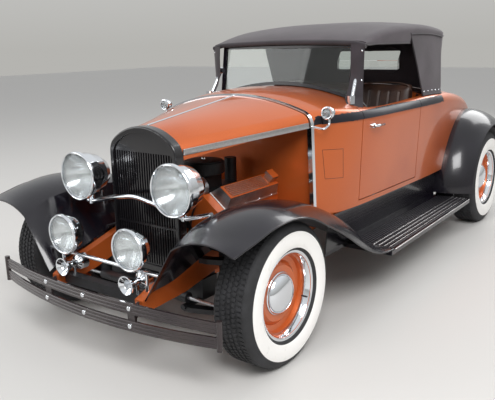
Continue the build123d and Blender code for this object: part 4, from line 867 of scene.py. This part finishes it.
# Small lamp: its place, its glass's finish and slot, then the profiles of the glass and the rim
SMALL_LAMPS = {
    "cowl_lamp": (
        (0.580, -0.907, 1.066), "lens", "lens",
        ((0.0, -0.0062), (0.010, -0.0055), (0.018, -0.0035), (0.0235, 0.0), (0.0245, 0.004), (0.0, 0.004)),
        (
            (0.0245, 0.0), (0.0250, -0.0030), (0.0285, -0.0042), (0.0330, -0.0024), (0.0352, 0.0015),
            (0.0352, 0.0070), (0.0338, 0.0070), (0.0245, 0.0040), (0.0245, 0.0),
        ),
    ),
    "tail_lamp": (
        (0.668, 1.792, 0.612), "red", "red_lens",
        ((0.0335, 0.001), (0.0330, 0.0060), (0.0285, 0.0105), (0.0180, 0.0138), (0.0, 0.0150)),
        (
            (0.0335, 0.0005), (0.0340, 0.0062), (0.0368, 0.0078), (0.0398, 0.0050), (0.0412, -0.0010),
            (0.0412, -0.0070), (0.0400, -0.0070), (0.0335, 0.0005),
        ),
    ),
}


class ROADSTER_OT_lamps(bpy.types.Operator):
    """Fits reflectors, bulbs, rims and the small lamps' glasses"""

    bl_idname = "roadster.lamps"
    bl_label = "Lamps"

    def execute(self, context):
        for lamp, (x, y, z, radius, depth) in LAMPS.items():
            for side, sign in SIDES.items():
                name = lamp + "_" + side
                centre = Vector((x * sign, y, z))
                edge = radius - 0.016
                bowl = []
                for step in range(9):
                    r = edge * (1 - step / 8)
                    bowl.append((r, 0.013 + depth * (1 - (r / edge) ** 2)))
                reflector = lathe(name + "_reflector", bowl, centre, BACK, 64)
                modify(reflector, "SOLIDIFY", thickness=0.0012, offset=1.0)
                smooth(reflector)
                fit(reflector, "mirror")
                rim = [(radius + out, along) for out, along in LAMP_RIM]
                fit(lathe(name + "_rim", rim, centre, BACK, 96), "chrome")
                fit(lathe(name + "_bulb", [*LAMP_BULB, (0.006, depth)], centre, BACK, 24), "glass")
                under = centre + Vector((0, -0.002, -radius - 0.001))
                fit(dome(name + "_rim_screw", 0.0042, 0.003, under, (0, 0, -1), 10), "chrome")
        for side, sign in SIDES.items():
            for lamp, ((x, y, z), finish, slot, glass, rim) in SMALL_LAMPS.items():
                centre = Vector((x * sign, y, z))
                fit(lathe(lamp + "_glass_" + side, glass, centre, BACK, 40), finish)
                fit(lathe(lamp + "_rim_" + side, rim, centre, BACK, 48), "chrome")
        return {"FINISHED"}


# Outer lip of the front fender: x, y, z
FENDER_LIP = (
    (0.826, -2.020, 0.644), (0.834, -1.912, 0.670), (0.836, -1.722, 0.704), (0.834, -1.512, 0.686),
    (0.833, -1.322, 0.602), (0.833, -1.152, 0.512), (0.832, -0.972, 0.404), (0.834, -0.792, 0.322),
    (0.838, -0.692, 0.300), (0.842, -0.607, 0.294),
)
# Half width of a bumper, and how far its ends bow back from its middle
BUMPER_HALF = 0.726
BUMPER_BOW = 0.084
# Front and rear end of the ribbed mats along y, and the height of the boards' tops
MAT_FRONT_Y = -0.610
MAT_REAR_Y = 0.748
BOARD_TOP = 0.2955


def board_line(part):
    """The x at the front and at the rear of a line along the left board, from its inner edge."""
    return 0.596 + part * 0.232, 0.596 + part * 0.206


class ROADSTER_OT_fender_trim(bpy.types.Operator):
    """Rolls the beads of the fenders and lays the ribs of the running boards"""

    bl_idname = "roadster.fender_trim"
    bl_label = "Fender trim"

    def execute(self, context):
        count = context.scene.roadster_sizes.board_ribs
        for side, sign in SIDES.items():
            bead = wire("fender_bead_" + side, [(x * sign, y, z) for x, y, z in FENDER_LIP], 0.0042, steps=12)
            fit(bead, "enamel")
            ribs = []
            for part in spread((0.0, 1.0), count):
                front_x, rear_x = board_line(part)
                low = (-0.0035, MAT_FRONT_Y, BOARD_TOP)
                rib = box_piece("board_rib", low, (0.0035, MAT_REAR_Y, 0.2995), 0.0016, 2)
                for vertex in rib.data.vertices:
                    along = (vertex.co.y - MAT_FRONT_Y) / (MAT_REAR_Y - MAT_FRONT_Y)
                    vertex.co.x = (vertex.co.x + front_x + (rear_x - front_x) * along) * sign
                ribs.append(rib)
            strips = []
            for part in (0.52, 0.66, 0.80, 0.93):
                front_x, rear_x = board_line(part)
                line = [Vector((front_x * sign, -0.600, 0.2992)), Vector((rear_x * sign, 0.740, 0.2992))]
                strips.append(wire("board_strip", line, 0.0018))
            fit(join("board_strips_" + side, strips), "satin")
            # The board runs on under the rear fender's foot
            low_x, high_x = sorted((0.556 * sign, 0.690 * sign))
            end = box_piece("end", (low_x, 0.754, 0.268), (high_x, 0.802, BOARD_TOP))
            foot = box_piece("foot", (low_x, 0.786, 0.268), (high_x, 0.802, 0.350))
            fit(join("board_end_" + side, [end, foot]), "enamel")
            mat = join("board_ribs_" + side, ribs)
            tidy_normals(mat)
            fit(mat, "mat")
            edge = [(x * sign, y, 0.2925) for x, y in ((0.8475, -0.600), (0.8330, 0.080), (0.8185, 0.752))]
            fit(wire("board_edge_" + side, edge, 0.0036), "satin")
        return {"FINISHED"}


def on_handle(centre, normal):
    """The lever stands out from the door, its round boss reaches the skin."""
    lever = abs(centre.x) > 0.632 and abs(centre.z - 0.955) < 0.02 and centre.y < -0.34
    boss = abs(centre.x) > 0.604 and math.hypot(centre.y + 0.464, centre.z - 0.955) < 0.0136
    return lever or boss


def vent_outline(side, sign):
    """The narrow gap round the cowl's vent door, drawn where it meets the skin."""
    cowl = node_tree("cowl")
    corners = [(-0.862, 0.864), (-0.718, 0.854), (-0.712, 0.692), (-0.848, 0.705)]
    sides = []
    for (y, z), (next_y, next_z) in zip(corners, corners[1:] + corners[:1]):
        line = []
        for share in spread((0.0, 1.0), 5):
            place = Vector((sign, y + (next_y - y) * share, z + (next_z - z) * share))
            line.append(cowl.ray_cast(place, Vector((-sign, 0, 0)))[0])
        sides.append(wire("vent_gap", line, 0.0011))
    fit(join("cowl_vent_gap_" + side, sides), "plastic")


def hood_edge(side, sign):
    """The bright bar along the hood's lower edge, from the radiator shell to the cowl."""
    edge = box_piece("hood_edge_" + side, (-0.5, -0.5, -0.5), (0.5, 0.5, 0.5), 0.0)
    for vertex in edge.data.vertices:
        y, x, low = (-1.621, 0.226, 0.925) if vertex.co.y < 0 else (-0.946, 0.496, 0.990)
        z = low + (0.027 if vertex.co.z > 0 else -0.0035)
        across = 0.0024 if vertex.co.x > 0 else -0.0058
        vertex.co = ((x + across) * sign, y, z)
    tidy_normals(edge)
    modify(edge, "BEVEL", width=0.0022, segments=3)
    smooth(edge)
    fit(edge, "satin", "hood_" + side + "_body")


class ROADSTER_OT_body_trim(bpy.types.Operator):
    """Paints the belt, plates the handles and lays the hood's bright edges"""

    bl_idname = "roadster.body_trim"
    bl_label = "Body trim"

    def execute(self, context):
        for node in ("cowl", "body_tub", "door_left", "door_right"):
            belt = overlay(
                "belt_" + node,
                node,
                lambda centre, normal: 1.0015 < centre.z < 1.0435 and abs(centre.x) > 0.5 and centre.y < 0.65,
                0.0009,
            )
            fit(belt, "belt", node + "_body" if node.startswith("door") else CHASSIS)
        for side, sign in SIDES.items():
            vent_outline(side, sign)
            node = "door_" + side
            fit(overlay("handle_" + side, node, on_handle, 0.0008), "chrome", node + "_body")
            panel = overlay(
                "door_panel_" + side,
                node,
                lambda centre, normal: normal.x * sign < -0.8
                and 0.5 < centre.z < 1.0
                and abs(centre.x) < 0.59,
                0.004,
            )
            fit(panel, "hide", node + "_body")
            hood_edge(side, sign)
        return {"FINISHED"}


class ROADSTER_OT_bumper_bolts(bpy.types.Operator):
    """Fastens the bumpers with round-headed bolts"""

    bl_idname = "roadster.bumper_bolts"
    bl_label = "Bumper bolts"

    def execute(self, context):
        # Bumper, y of its middle, the way it bows, x of its outer bolts
        for end, face, sign, reach in (("front", -2.092, 1, 0.288), ("rear", 2.092, -1, 0.388)):
            heads = []
            for x in (-reach, 0.0, reach):
                share = x / BUMPER_HALF
                for z, rise in ((0.326, 0.010), (0.262, -0.010)):
                    bow = BUMPER_BOW * share * share
                    place = (x, face + sign * (bow + 0.0005), z + rise * (1 - share * share))
                    heads.append(dome("bolt", 0.0115, 0.0048, place, (0, -sign, 0), 18, 0.006))
            fit(join(end + "_bumper_bolts", heads), "chrome")
        return {"FINISHED"}


# Stations of the roof from front to rear: y, half width, edge height, crown height
ROOF = (
    (-0.424, 0.556, 1.424, 1.440), (-0.242, 0.562, 1.470, 1.500), (0.168, 0.574, 1.514, 1.550),
    (0.608, 0.577, 1.506, 1.544), (0.843, 0.575, 1.470, 1.502),
)
ROOF_FRONT = ROOF[0][0]
ROOF_REAR = 0.815
ROOF_HALF = 0.577
ROOF_CORNER = 0.115
# Lengths of the roof's edge seen from above: left side, corner, back, corner, right side
ROOF_SIDE = ROOF_REAR - ROOF_CORNER - ROOF_FRONT
ROOF_TURN = math.pi / 2 * ROOF_CORNER
ROOF_EDGE = (ROOF_SIDE, ROOF_TURN, 2 * (ROOF_HALF - ROOF_CORNER), ROOF_TURN, ROOF_SIDE)
QUARTER_TOP_Y = 0.150
QUARTER_FOOT_Y = 0.352
# The part of the edge's length at which the left quarter begins
QUARTER_PART = (QUARTER_TOP_Y - ROOF_FRONT) / sum(ROOF_EDGE)
DECK_REAR = 0.732
SIDE_HEM = 1.404
HEM_DROP = 0.022
# Distance between the bows, and how far the cloth sags between them
BOW_PITCH = 0.412
CLOTH_SAG = 0.0045
# How wide and how deep the roof is rounded along its sides and at the rear bow
EAVE_WIDTH = 0.050
EAVE_DEPTH = 0.034
REAR_WIDTH = 0.110
REAR_DEPTH = 0.052
HEADER_TOP = 1.412
# How far the curtain is tucked in under the roof, how far down its back hangs in, where the back
# begins, and how much wider its foot is than its top
TUCK = 0.004
HANG = 0.165
BACK_FRONT_Y = 0.45
FOOT_SPREAD = 0.598 / 0.573
# The rear window's opening, and x and z of points along its stitched frame
WINDOW_HALF = 0.25
WINDOW_LOW = 1.215
WINDOW_HIGH = 1.350
WINDOW_FRAME = (
    (-0.25, 1.215), (0.0, 1.212), (0.25, 1.215), (0.252, 1.28), (0.25, 1.350), (0.0, 1.353),
    (-0.25, 1.350), (-0.252, 1.28),
)
# The flap beside the windshield: height, then x and y of its front edge and of its rear edge
FLAP = (
    (1.410, 0.478, -0.464, 0.552, -0.437), (1.330, 0.480, -0.468, 0.549, -0.435),
    (1.235, 0.482, -0.464, 0.546, -0.433), (1.165, 0.482, -0.492, 0.545, -0.434),
    (1.110, 0.482, -0.532, 0.549, -0.443), (1.060, 0.530, -0.585, 0.568, -0.474),
    (1.022, 0.581, -0.622, 0.581, -0.500),
)


def roof_values(y):
    """Half width, edge height and crown height of the top at y, smoothly through the stations."""
    y = min(max(y, ROOF_FRONT), ROOF[-1][0])
    values = []
    for column in (1, 2, 3):
        total = 0.0
        for index, station in enumerate(ROOF):
            weight = 1.0
            for other_index, other in enumerate(ROOF):
                if other_index != index:
                    weight *= (y - other[0]) / (station[0] - other[0])
            total += weight * station[column]
        values.append(total)
    return values


def roof_height(x, y):
    """The stretched canvas over its bows, rounded at the eaves and the rear bow."""
    half, edge_z, crown_z = roof_values(y)
    across = min(abs(x) / half, 1.0)
    z = edge_z + (crown_z - edge_z) * (1 - across ** 2.2)
    # The cloth sags a little between the bows
    bow = (y - ROOF_FRONT) / BOW_PITCH
    z -= CLOTH_SAG * math.sin(math.pi * bow) ** 2 * (1 - across ** 4)
    side_drop = max(0.0, EAVE_WIDTH - (half - abs(x))) / EAVE_WIDTH
    rear_drop = max(0.0, REAR_WIDTH - (ROOF_REAR - y)) / REAR_WIDTH
    drop = min(1.0, math.hypot(side_drop, rear_drop))
    round_off = 1 - math.sqrt(max(0.0, 1 - drop * drop))
    depth = min(EAVE_DEPTH, edge_z - HEADER_TOP) if side_drop > rear_drop else REAR_DEPTH
    return z - depth * round_off


def hem_height(x, y):
    """The lower edge of the roof's cloth, which hangs to one level over the doors."""
    eave = roof_height(x, y)
    beside = abs(x) > roof_values(y)[0] - 0.03
    if beside and y < QUARTER_TOP_Y + 0.005:
        return min(eave - 0.012, SIDE_HEM)
    return eave - HEM_DROP


def roof_outline(part):
    """The roof's edge seen from above, from the left front round the back to the right front."""
    left = part * sum(ROOF_EDGE)
    mirrored = 1.0
    if left > sum(ROOF_EDGE) / 2:
        left = sum(ROOF_EDGE) - left
        mirrored = -1.0
    if left <= ROOF_SIDE:
        y = ROOF_FRONT + left
        x = roof_values(y)[0]
    elif left <= ROOF_SIDE + ROOF_TURN:
        angle = (left - ROOF_SIDE) / ROOF_CORNER
        x = ROOF_HALF - ROOF_CORNER * (1 - math.cos(angle))
        y = ROOF_REAR - ROOF_CORNER * (1 - math.sin(angle))
    else:
        x = ROOF_HALF - ROOF_CORNER - (left - ROOF_SIDE - ROOF_TURN)
        y = ROOF_REAR
    return x * mirrored, y


def roof_point(u, v):
    """A point of the roof cloth: u goes across and v from the header to the rear bow."""
    # Closer rows and columns at the edges keep them round
    across = math.sin((2 * u - 1) * math.pi / 2)
    back = math.sin(v * math.pi / 2)
    side_left = ROOF_HALF * (1 - abs(across))
    corner = max(0.0, ROOF_CORNER - side_left)
    rear = ROOF_REAR - (ROOF_CORNER - math.sqrt(max(0.0, ROOF_CORNER ** 2 - corner ** 2)))
    y = ROOF_FRONT + (rear - ROOF_FRONT) * back
    x = across * roof_values(y)[0]
    return x, y, roof_height(x, y)


def hem_line(first, last, count):
    """Points along the lower edge of the roof's cloth, between two parts of its length."""
    line = []
    for part in spread((first, last), count):
        x, y = roof_outline(part)
        line.append((x * 1.002, y, hem_height(x, y) + 0.002))
    return line


def flap_point(sign, u, v):
    """A point of the windshield's flap: u goes back from its front edge and v down."""
    place = v * (len(FLAP) - 1)
    index = min(int(place), len(FLAP) - 2)
    share = place - index
    z, front_x, front_y, rear_x, rear_y = [
        upper + (lower - upper) * share for upper, lower in zip(FLAP[index], FLAP[index + 1])
    ]
    bulge = 0.006 * math.sin(math.pi * u) * math.sin(math.pi * min(v * 1.3, 1.0))
    x = front_x + (rear_x - front_x) * u + bulge
    return x * sign, front_y + (rear_y - front_y) * u - bulge, z


def snap(place, out, proud):
    """The head of a snap fastener on the cloth."""
    return dome("snap", 0.0062, 0.0035, Vector(place) + out * proud, out, 12, 0.002)


def bind(name, points, radius, **settings):
    """A piping or binding tape along an edge of the cloth."""
    fit(wire(name, points, radius, **settings), "binding")


def flap(side, sign):
    """The canvas flap that is buttoned from the header to the cowl beside the windshield."""
    cloth = surface("windshield_flap_" + side, 10, 30, lambda u, v: flap_point(sign, u, v))
    tidy_normals(cloth)
    modify(cloth, "SOLIDIFY", thickness=0.003, offset=0.0)
    smooth(cloth, 50.0)
    fit(cloth, "binding")
    out = Vector((sign * 0.8, -0.6, 0.0)).normalized()
    snaps = []
    for u, v in ((0.82, 0.08), (0.85, 0.40), (0.82, 0.93), (0.2, 0.90)):
        snaps.append(snap(flap_point(sign, u, v), out, 0.0014))
    fit(join("flap_snaps_" + side, snaps), "chrome")


class ROADSTER_OT_canvas_top(bpy.types.Operator):
    """Stretches the canvas top over its bows, with its quarters, rear curtain and bindings"""

    bl_idname = "roadster.canvas_top"
    bl_label = "Canvas top"

    def deck_height(self, x, y):
        """The height of the body under the curtain's foot."""
        place = self.body.ray_cast(Vector((x, y, 1.35)), Vector((0, 0, -1)))[0]
        return place.z if place else 1.045

    def curtain_point(self, u, v):
        """A point of the quarters and back: u goes round from the left and v down."""
        part = QUARTER_PART + (1 - 2 * QUARTER_PART) * u
        x, y = roof_outline(part)
        top_z = roof_height(x, y) + TUCK
        inset = 1 - TUCK / max(abs(x), 0.3)
        last_y = ROOF_REAR - TUCK
        top_x, top_y = x * inset, min(y, last_y)
        # The foot follows the belt and the deck
        stretch = (DECK_REAR - QUARTER_FOOT_Y) / (last_y - QUARTER_TOP_Y)
        foot_y = QUARTER_FOOT_Y + (top_y - QUARTER_TOP_Y) * stretch
        foot_x = top_x * FOOT_SPREAD
        foot_z = self.deck_height(foot_x, foot_y) + 0.001
        z = top_z + (foot_z - top_z) * v
        # The back hangs in from the rear bow, the sides lean straight
        hang = max(0.0, 1 - (top_z - z) / HANG)
        hang = hang * hang * (3 - 2 * hang)
        backness = max(0.0, (top_y - BACK_FRONT_Y) / (ROOF_REAR - BACK_FRONT_Y)) ** 2
        lean = 1 - v
        share = lean + (hang - lean) * backness
        px = foot_x + (top_x - foot_x) * lean
        py = foot_y + (top_y - foot_y) * share
        pull = 0.0022 * math.sin(px * 31 + py * 23) * math.sin(math.pi * v) * (0.4 + v)
        return px * (1 - pull), py - pull * backness, z

    def execute(self, context):
        self.body = node_tree("body_tub")
        roof = surface("canvas_roof", 56, 56, roof_point)
        # The edge is turned down over the header and the eaves as a valance
        select_only(roof)
        edit()
        bpy.ops.mesh.region_to_loop()
        for share in (0.33, 0.67, 1.0):
            bpy.ops.mesh.extrude_edges_move(TRANSFORM_OT_translate={"value": (0, 0, -0.011)})
            end_edit()
            for vertex in roof.data.vertices:
                if vertex.select:
                    eave = roof_height(vertex.co.x, vertex.co.y)
                    hem = hem_height(vertex.co.x, vertex.co.y)
                    vertex.co.z = eave + (hem - eave) * share
            bpy.ops.object.mode_set(mode="EDIT")
        end_edit()
        curtain = surface("canvas_curtain", 90, 26, self.curtain_point)
        # The rear window's opening
        select_only(curtain)
        for place, normal in (
            ((-WINDOW_HALF, 0, 0), (1, 0, 0)),
            ((WINDOW_HALF, 0, 0), (1, 0, 0)),
            ((0, 0, WINDOW_LOW), (0, 0, 1)),
            ((0, 0, WINDOW_HIGH), (0, 0, 1)),
        ):
            edit()
            bpy.ops.mesh.bisect(plane_co=place, plane_no=normal)
            end_edit()
        drop_faces(
            curtain,
            lambda middle, normal: abs(middle.x) < WINDOW_HALF
            and WINDOW_LOW < middle.z < WINDOW_HIGH
            and middle.y > 0.6,
        )
        edit()
        bpy.ops.mesh.normals_make_consistent(inside=False)
        end_edit()
        for cloth in (roof, curtain):
            modify(cloth, "SOLIDIFY", thickness=0.0035, offset=-1.0)
            smooth(cloth, 50.0)
        fit(roof, "canvas", replaces=("soft_top",))
        fit(curtain, "canvas")
        # Piping along the eave, bindings along the curtain's free edges
        start = QUARTER_PART
        bind("eave_piping", hem_line(start * 1.02, 1 - start * 1.02, 50), 0.0036, steps=3)
        bind("door_hem_left", hem_line(0.0, start * 0.99, 14), 0.0042, steps=3)
        bind("door_hem_right", hem_line(1.0, 1 - start * 0.99, 14), 0.0042, steps=3)
        across = spread((-0.556, 0.556), 17)
        roll = [(x, ROOF_FRONT - 0.006, roof_height(x, ROOF_FRONT) - 0.015) for x in across]
        bind("header_roll", roll, 0.014, sides=5, steps=5)
        for side, sign in SIDES.items():
            flap(side, sign)
        for side, u in (("left", 0.0), ("right", 1.0)):
            line = [self.curtain_point(u, v) for v in spread((0.03, 1.0), 14)]
            bind("quarter_binding_" + side, line, 0.0052, steps=4)
        foot = []
        for u in spread((0.0, 1.0), 60):
            x, y, z = self.curtain_point(u, 1.0)
            foot.append((x, y, z + 0.006))
        bind("curtain_hem", foot, 0.0050, steps=3)
        snaps = []
        for u in spread((0.02, 0.98), 22):
            x, y, z = self.curtain_point(u, 0.93)
            x_next, y_next = self.curtain_point(u + 0.005, 0.93)[:2]
            out = Vector((y_next - y, -(x_next - x), 0.0)).normalized()
            if out.dot(Vector((x, y - 0.3, 0.0))) < 0:
                out = -out
            snaps.append(snap((x, y, z), out, 0.0008))
        fit(join("curtain_snaps", snaps), "chrome")
        outline = []
        for x, z in WINDOW_FRAME:
            hit, place = curtain.ray_cast(Vector((x * 1.03, 1.6, z)), Vector((0, -1, 0)))[:2]
            outline.append((x, place.y if hit else 0.75, z))
        bind("rear_window_binding", outline, 0.0055, cyclic=True, steps=6)
        # Wooden bows under the cloth
        for index, y in enumerate((-0.012, 0.400), 1):
            half = roof_values(y)[0] - 0.014
            line = [(x, y, roof_height(x, y) - 0.019) for x in spread((-half, half), 15)]
            fit(wire("top_bow_%d" % index, line, 0.0105, steps=4), "frame black")
        header = box_piece("top_header", (-0.545, -0.415, 1.4125), (0.545, -0.380, 1.4190), 0.002)
        fit(header, "frame black")
        return {"FINISHED"}


# Pad: its outline in y and z, half width, swell, depth and width of its channels, where they are
# sewn, and the node that it replaces
PADS = {
    "bench_cushion": (
        ((-0.142, 0.552), (0.236, 0.552), (0.236, 0.738), (0.10, 0.742), (-0.142, 0.750)),
        0.518, 0.010, 0.009, 0.007,
        lambda place, normal: normal.z if place.y > -0.11 and abs(place.x) < 0.49 else 0.0,
        ("seat_front",),
    ),
    "bench_back": (
        ((0.250, 0.750), (0.388, 0.750), (0.392, 1.090), (0.380, 1.138), (0.352, 1.145), (0.326, 1.116)),
        0.518, 0.010, 0.009, 0.007,
        lambda place, normal: -normal.y if place.z < 1.09 and abs(place.x) < 0.49 else 0.0,
        (),
    ),
    "rumble_cushion": (
        ((1.040, 0.660), (1.316, 0.660), (1.316, 0.745), (1.040, 0.745)),
        0.286, 0.008, 0.006, 0.006,
        lambda place, normal: normal.z if 1.065 < place.y < 1.29 and abs(place.x) < 0.26 else 0.0,
        ("seat_rumble",),
    ),
}
# Welts sewn along the front edges
WELTS = {
    "bench_welt": (
        (-0.515, -0.128, 0.742), (-0.49, -0.146, 0.744), (0.0, -0.150, 0.746), (0.49, -0.146, 0.744),
        (0.515, -0.128, 0.742),
    ),
    "bench_back_welt": (
        (-0.512, 0.342, 1.098), (-0.49, 0.334, 1.130), (0.0, 0.330, 1.135), (0.49, 0.334, 1.130),
        (0.512, 0.342, 1.098),
    ),
}


class ROADSTER_OT_seats(bpy.types.Operator):
    """Upholsters the bench, its back and the rumble seat's cushion"""

    bl_idname = "roadster.seats"
    bl_label = "Seats"

    def execute(self, context):
        pitch = context.scene.roadster_sizes.channel_pitch
        for name, (outline, half, cap, depth, width, sewn, replaced) in PADS.items():
            pad = upright_prism(name, outline, half)
            swell(pad, cap)
            sew_channels(pad, pitch, depth, width, sewn)
            smooth(pad, 60.0)
            fit(pad, "hide", replaces=replaced)
        for name, line in WELTS.items():
            fit(wire(name, line, 0.0042), "hide")
        return {"FINISHED"}


FRONT_AXLE_Y = -1.572
DASH_FACE_Y = FRONT_AXLE_Y + 1.104
DIAL_Z = 1.035
# x and radius of each dial across the dashboard's rear face
DIALS = ((0.42, 0.040), (0.325, 0.052), (0.23, 0.040), (0.09, 0.032), (0.0, 0.032), (-0.09, 0.032))
GEAR_KNOB = (
    (0.0, -0.022), (0.011, -0.020), (0.019, -0.012), (0.0225, 0.0), (0.019, 0.012), (0.011, 0.020),
    (0.0, 0.0225),
)
GEAR_BOOT = (
    (0.060, 0.0), (0.056, 0.010), (0.044, 0.016), (0.047, 0.024), (0.034, 0.032), (0.036, 0.040),
    (0.022, 0.050), (0.009, 0.060), (0.0, 0.060),
)


def dial(index, x, radius):
    """One instrument: bezel, card, needle and its domed glass."""
    mark = "_%d" % index
    centre = Vector((x, DASH_FACE_Y, DIAL_Z))
    bezel = [
        (radius, 0.0), (radius + 0.001, 0.005), (radius - 0.002, 0.008), (radius - 0.006, 0.007),
        (radius - 0.007, 0.003), (radius - 0.007, 0.0), (radius, 0.0),
    ]
    fit(lathe("dial_bezel" + mark, bezel, centre, BACK, 40), "chrome")
    inner = radius - 0.0065
    card = lathe("dial_card" + mark, [(inner, 0.0), (inner, 0.0022), (0.0, 0.0022)], centre, BACK, 32)
    fit(card, "dial")
    low = (x - 0.0008, DASH_FACE_Y + 0.0028, DIAL_Z)
    high = (x + 0.0008, DASH_FACE_Y + 0.0036, DIAL_Z + radius * 0.62)
    fit(box_piece("dial_needle" + mark, low, high, 0.0003, 1), "plastic")
    glass = lathe("dial_glass" + mark, [(inner, 0.0048), (0.0, 0.0058)], centre, BACK, 32)
    modify(glass, "SOLIDIFY", thickness=0.0008)
    fit(glass, "glass")


class ROADSTER_OT_cabin(bpy.types.Operator):
    """Carpets the floor and fits the dials, the horn button and the gear lever"""

    bl_idname = "roadster.cabin"
    bl_label = "Cabin"

    def execute(self, context):
        carpet = overlay(
            "floor_carpet",
            "body_tub",
            lambda centre, normal: normal.z > 0.9
            and 0.52 < centre.z < 0.56
            and centre.y < 0.45
            and abs(centre.x) < 0.58,
            0.005,
        )
        fit(carpet, "carpet")
        for index, (x, radius) in enumerate(DIALS):
            dial(index, x, radius)
        hub = Vector((0.33, -0.282, 0.965))
        along = Vector((0, 0.875, 0.484)).normalized()
        button = [(0.030, 0.016), (0.031, 0.021), (0.026, 0.026), (0.014, 0.029), (0.0, 0.030)]
        fit(lathe("horn_button", button, hub, along, 40), "chrome", "steering_wheel_body")
        lever = wire("gear_lever", [(0.03, -0.30, 0.60), (0.035, -0.27, 0.72), (0.04, -0.20, 0.86)], 0.006)
        fit(lever, "chrome")
        knob = lathe("gear_knob", GEAR_KNOB, (0.0425, -0.184, 0.884), (0.03, 0.45, 0.89), 32)
        fit(knob, "plastic")
        boot = lathe("gear_boot", GEAR_BOOT, (0.03, -0.302, 0.588), (0.02, 0.2, 0.98), 40)
        fit(boot, "hose")
        return {"FINISHED"}


COVER_TILT = math.radians(38.0)
COVER_FRONT_Y = FRONT_AXLE_Y + 0.155
COVER_REAR_Y = FRONT_AXLE_Y + 0.601
BLOCK_FRONT_Y = FRONT_AXLE_Y + 0.096
# x and z of the belt's way round the pulleys
BELT = (
    (-0.140, 0.772), (0.0, 0.700), (0.138, 0.776), (0.192, 0.735), (0.150, 0.600), (0.082, 0.400),
    (0.0, 0.298), (-0.082, 0.400), (-0.150, 0.600), (-0.190, 0.730),
)
CLEANER_LID = (
    (0.100, 0.0), (0.104, 0.002), (0.104, 0.006), (0.096, 0.009), (0.060, 0.012), (0.026, 0.0135),
    (0.0, 0.014),
)


def dress_cover(side, sign):
    """A valve cover's paint, bright fins, flange and screws."""
    up = Vector((math.sin(COVER_TILT) * sign, 0, math.cos(COVER_TILT)))
    paint = overlay(
        "cover_paint_" + side,
        "valve_covers",
        lambda centre, normal: centre.x * sign > 0 and normal.dot(up) > 0.95,
        0.0007,
    )
    fit(paint, "copper")
    along = Vector((math.cos(COVER_TILT) * sign, 0, -math.sin(COVER_TILT)))
    seat = Vector((0.255 * sign, 0, 0.6605))
    # The machined tops of the fins stand bright between the painted grooves
    fins = []
    for across in spread((-0.0315, 0.0315), 7):
        crest = seat + along * across + up * 0.0695
        line = [crest + Vector((0, y, 0)) for y in (COVER_FRONT_Y + 0.033, COVER_REAR_Y - 0.101)]
        fins.append(wire("cover_fin", line, 0.0017))
    fit(join("cover_fins_" + side, fins), "satin")
    # The flange round the foot of the cover
    outline = []
    for across, y in (
        (0.064, COVER_FRONT_Y), (0.064, COVER_REAR_Y), (-0.064, COVER_REAR_Y), (-0.064, COVER_FRONT_Y),
    ):
        outline.append(seat + along * across + Vector((0, y, 0)))
    flange = []
    for start, end in zip(outline, outline[1:] + outline[:1]):
        flange.append(wire("cover_flange", [start, end], 0.0046))
    fit(join("cover_flange_" + side, flange), "satin")
    screws = []
    for y in spread((COVER_FRONT_Y + 0.05, COVER_REAR_Y - 0.05), 4):
        for across in (0.0605, -0.0605):
            place = seat + along * across + Vector((0, y, 0)) + up * 0.004
            screws.append(dome("screw", 0.0065, 0.005, place, up, 12, 0.004))
    fit(join("cover_screws_" + side, screws), "chrome")


class ROADSTER_OT_engine_dress(bpy.types.Operator):
    """Dresses the engine: painted and finned covers, their screws, belt, hose and the cleaner's nut"""

    bl_idname = "roadster.engine_dress"
    bl_label = "Engine dress"

    def execute(self, context):
        for side, sign in SIDES.items():
            dress_cover(side, sign)
        belt = [(x, BLOCK_FRONT_Y - 0.018, z) for x, z in BELT]
        fit(wire("drive_belt", belt, 0.0055, cyclic=True, steps=10), "hose")
        cleaner = Vector((0, BLOCK_FRONT_Y + 0.255, 0.812))
        up = (0, 0, 1)
        fit(lathe("cleaner_lid", CLEANER_LID, cleaner, up, 64), "engine black")
        nut = dome("cleaner_nut", 0.011, 0.014, cleaner + Vector((0, 0, 0.0135)), up, 12)
        fit(nut, "chrome")
        elbow = [
            (0.075, BLOCK_FRONT_Y + 0.03, 0.668),
            (0.080, BLOCK_FRONT_Y - 0.03, 0.705),
            (0.090, FRONT_AXLE_Y + 0.02, 0.790),
            (0.095, FRONT_AXLE_Y - 0.035, 0.832),
        ]
        fit(wire("coolant_elbow", elbow, 0.020, sides=6), "hose")
        return {"FINISHED"}


OPERATORS = [
    ROADSTER_OT_stage,
    ROADSTER_OT_finishes,
    ROADSTER_OT_tyres,
    ROADSTER_OT_wheel_trim,
    ROADSTER_OT_lamps,
    ROADSTER_OT_fender_trim,
    ROADSTER_OT_body_trim,
    ROADSTER_OT_bumper_bolts,
    ROADSTER_OT_canvas_top,
    ROADSTER_OT_seats,
    ROADSTER_OT_cabin,
    ROADSTER_OT_engine_dress,
]


class ROADSTER_PT_panel(bpy.types.Panel):
    bl_label = "Roadster"
    bl_idname = "ROADSTER_PT_panel"
    bl_space_type = "VIEW_3D"
    bl_region_type = "UI"
    bl_category = "Roadster"

    def draw(self, context):
        for operator in OPERATORS:
            self.layout.operator(operator.bl_idname)


CLASSES = [RoadsterSizes, RoadsterColours, *OPERATORS, ROADSTER_PT_panel]


def register():
    for cls in CLASSES:
        bpy.utils.register_class(cls)
    bpy.types.Scene.roadster_sizes = PointerProperty(type=RoadsterSizes)
    bpy.types.Scene.roadster_colours = PointerProperty(type=RoadsterColours)


def unregister():
    del bpy.types.Scene.roadster_colours
    del bpy.types.Scene.roadster_sizes
    for cls in reversed(CLASSES):
        bpy.utils.unregister_class(cls)


def main():
    register()
    for operator in OPERATORS:
        group, name = operator.bl_idname.split(".")
        getattr(getattr(bpy.ops, group), name)()


if __name__ == "__main__":
    main()
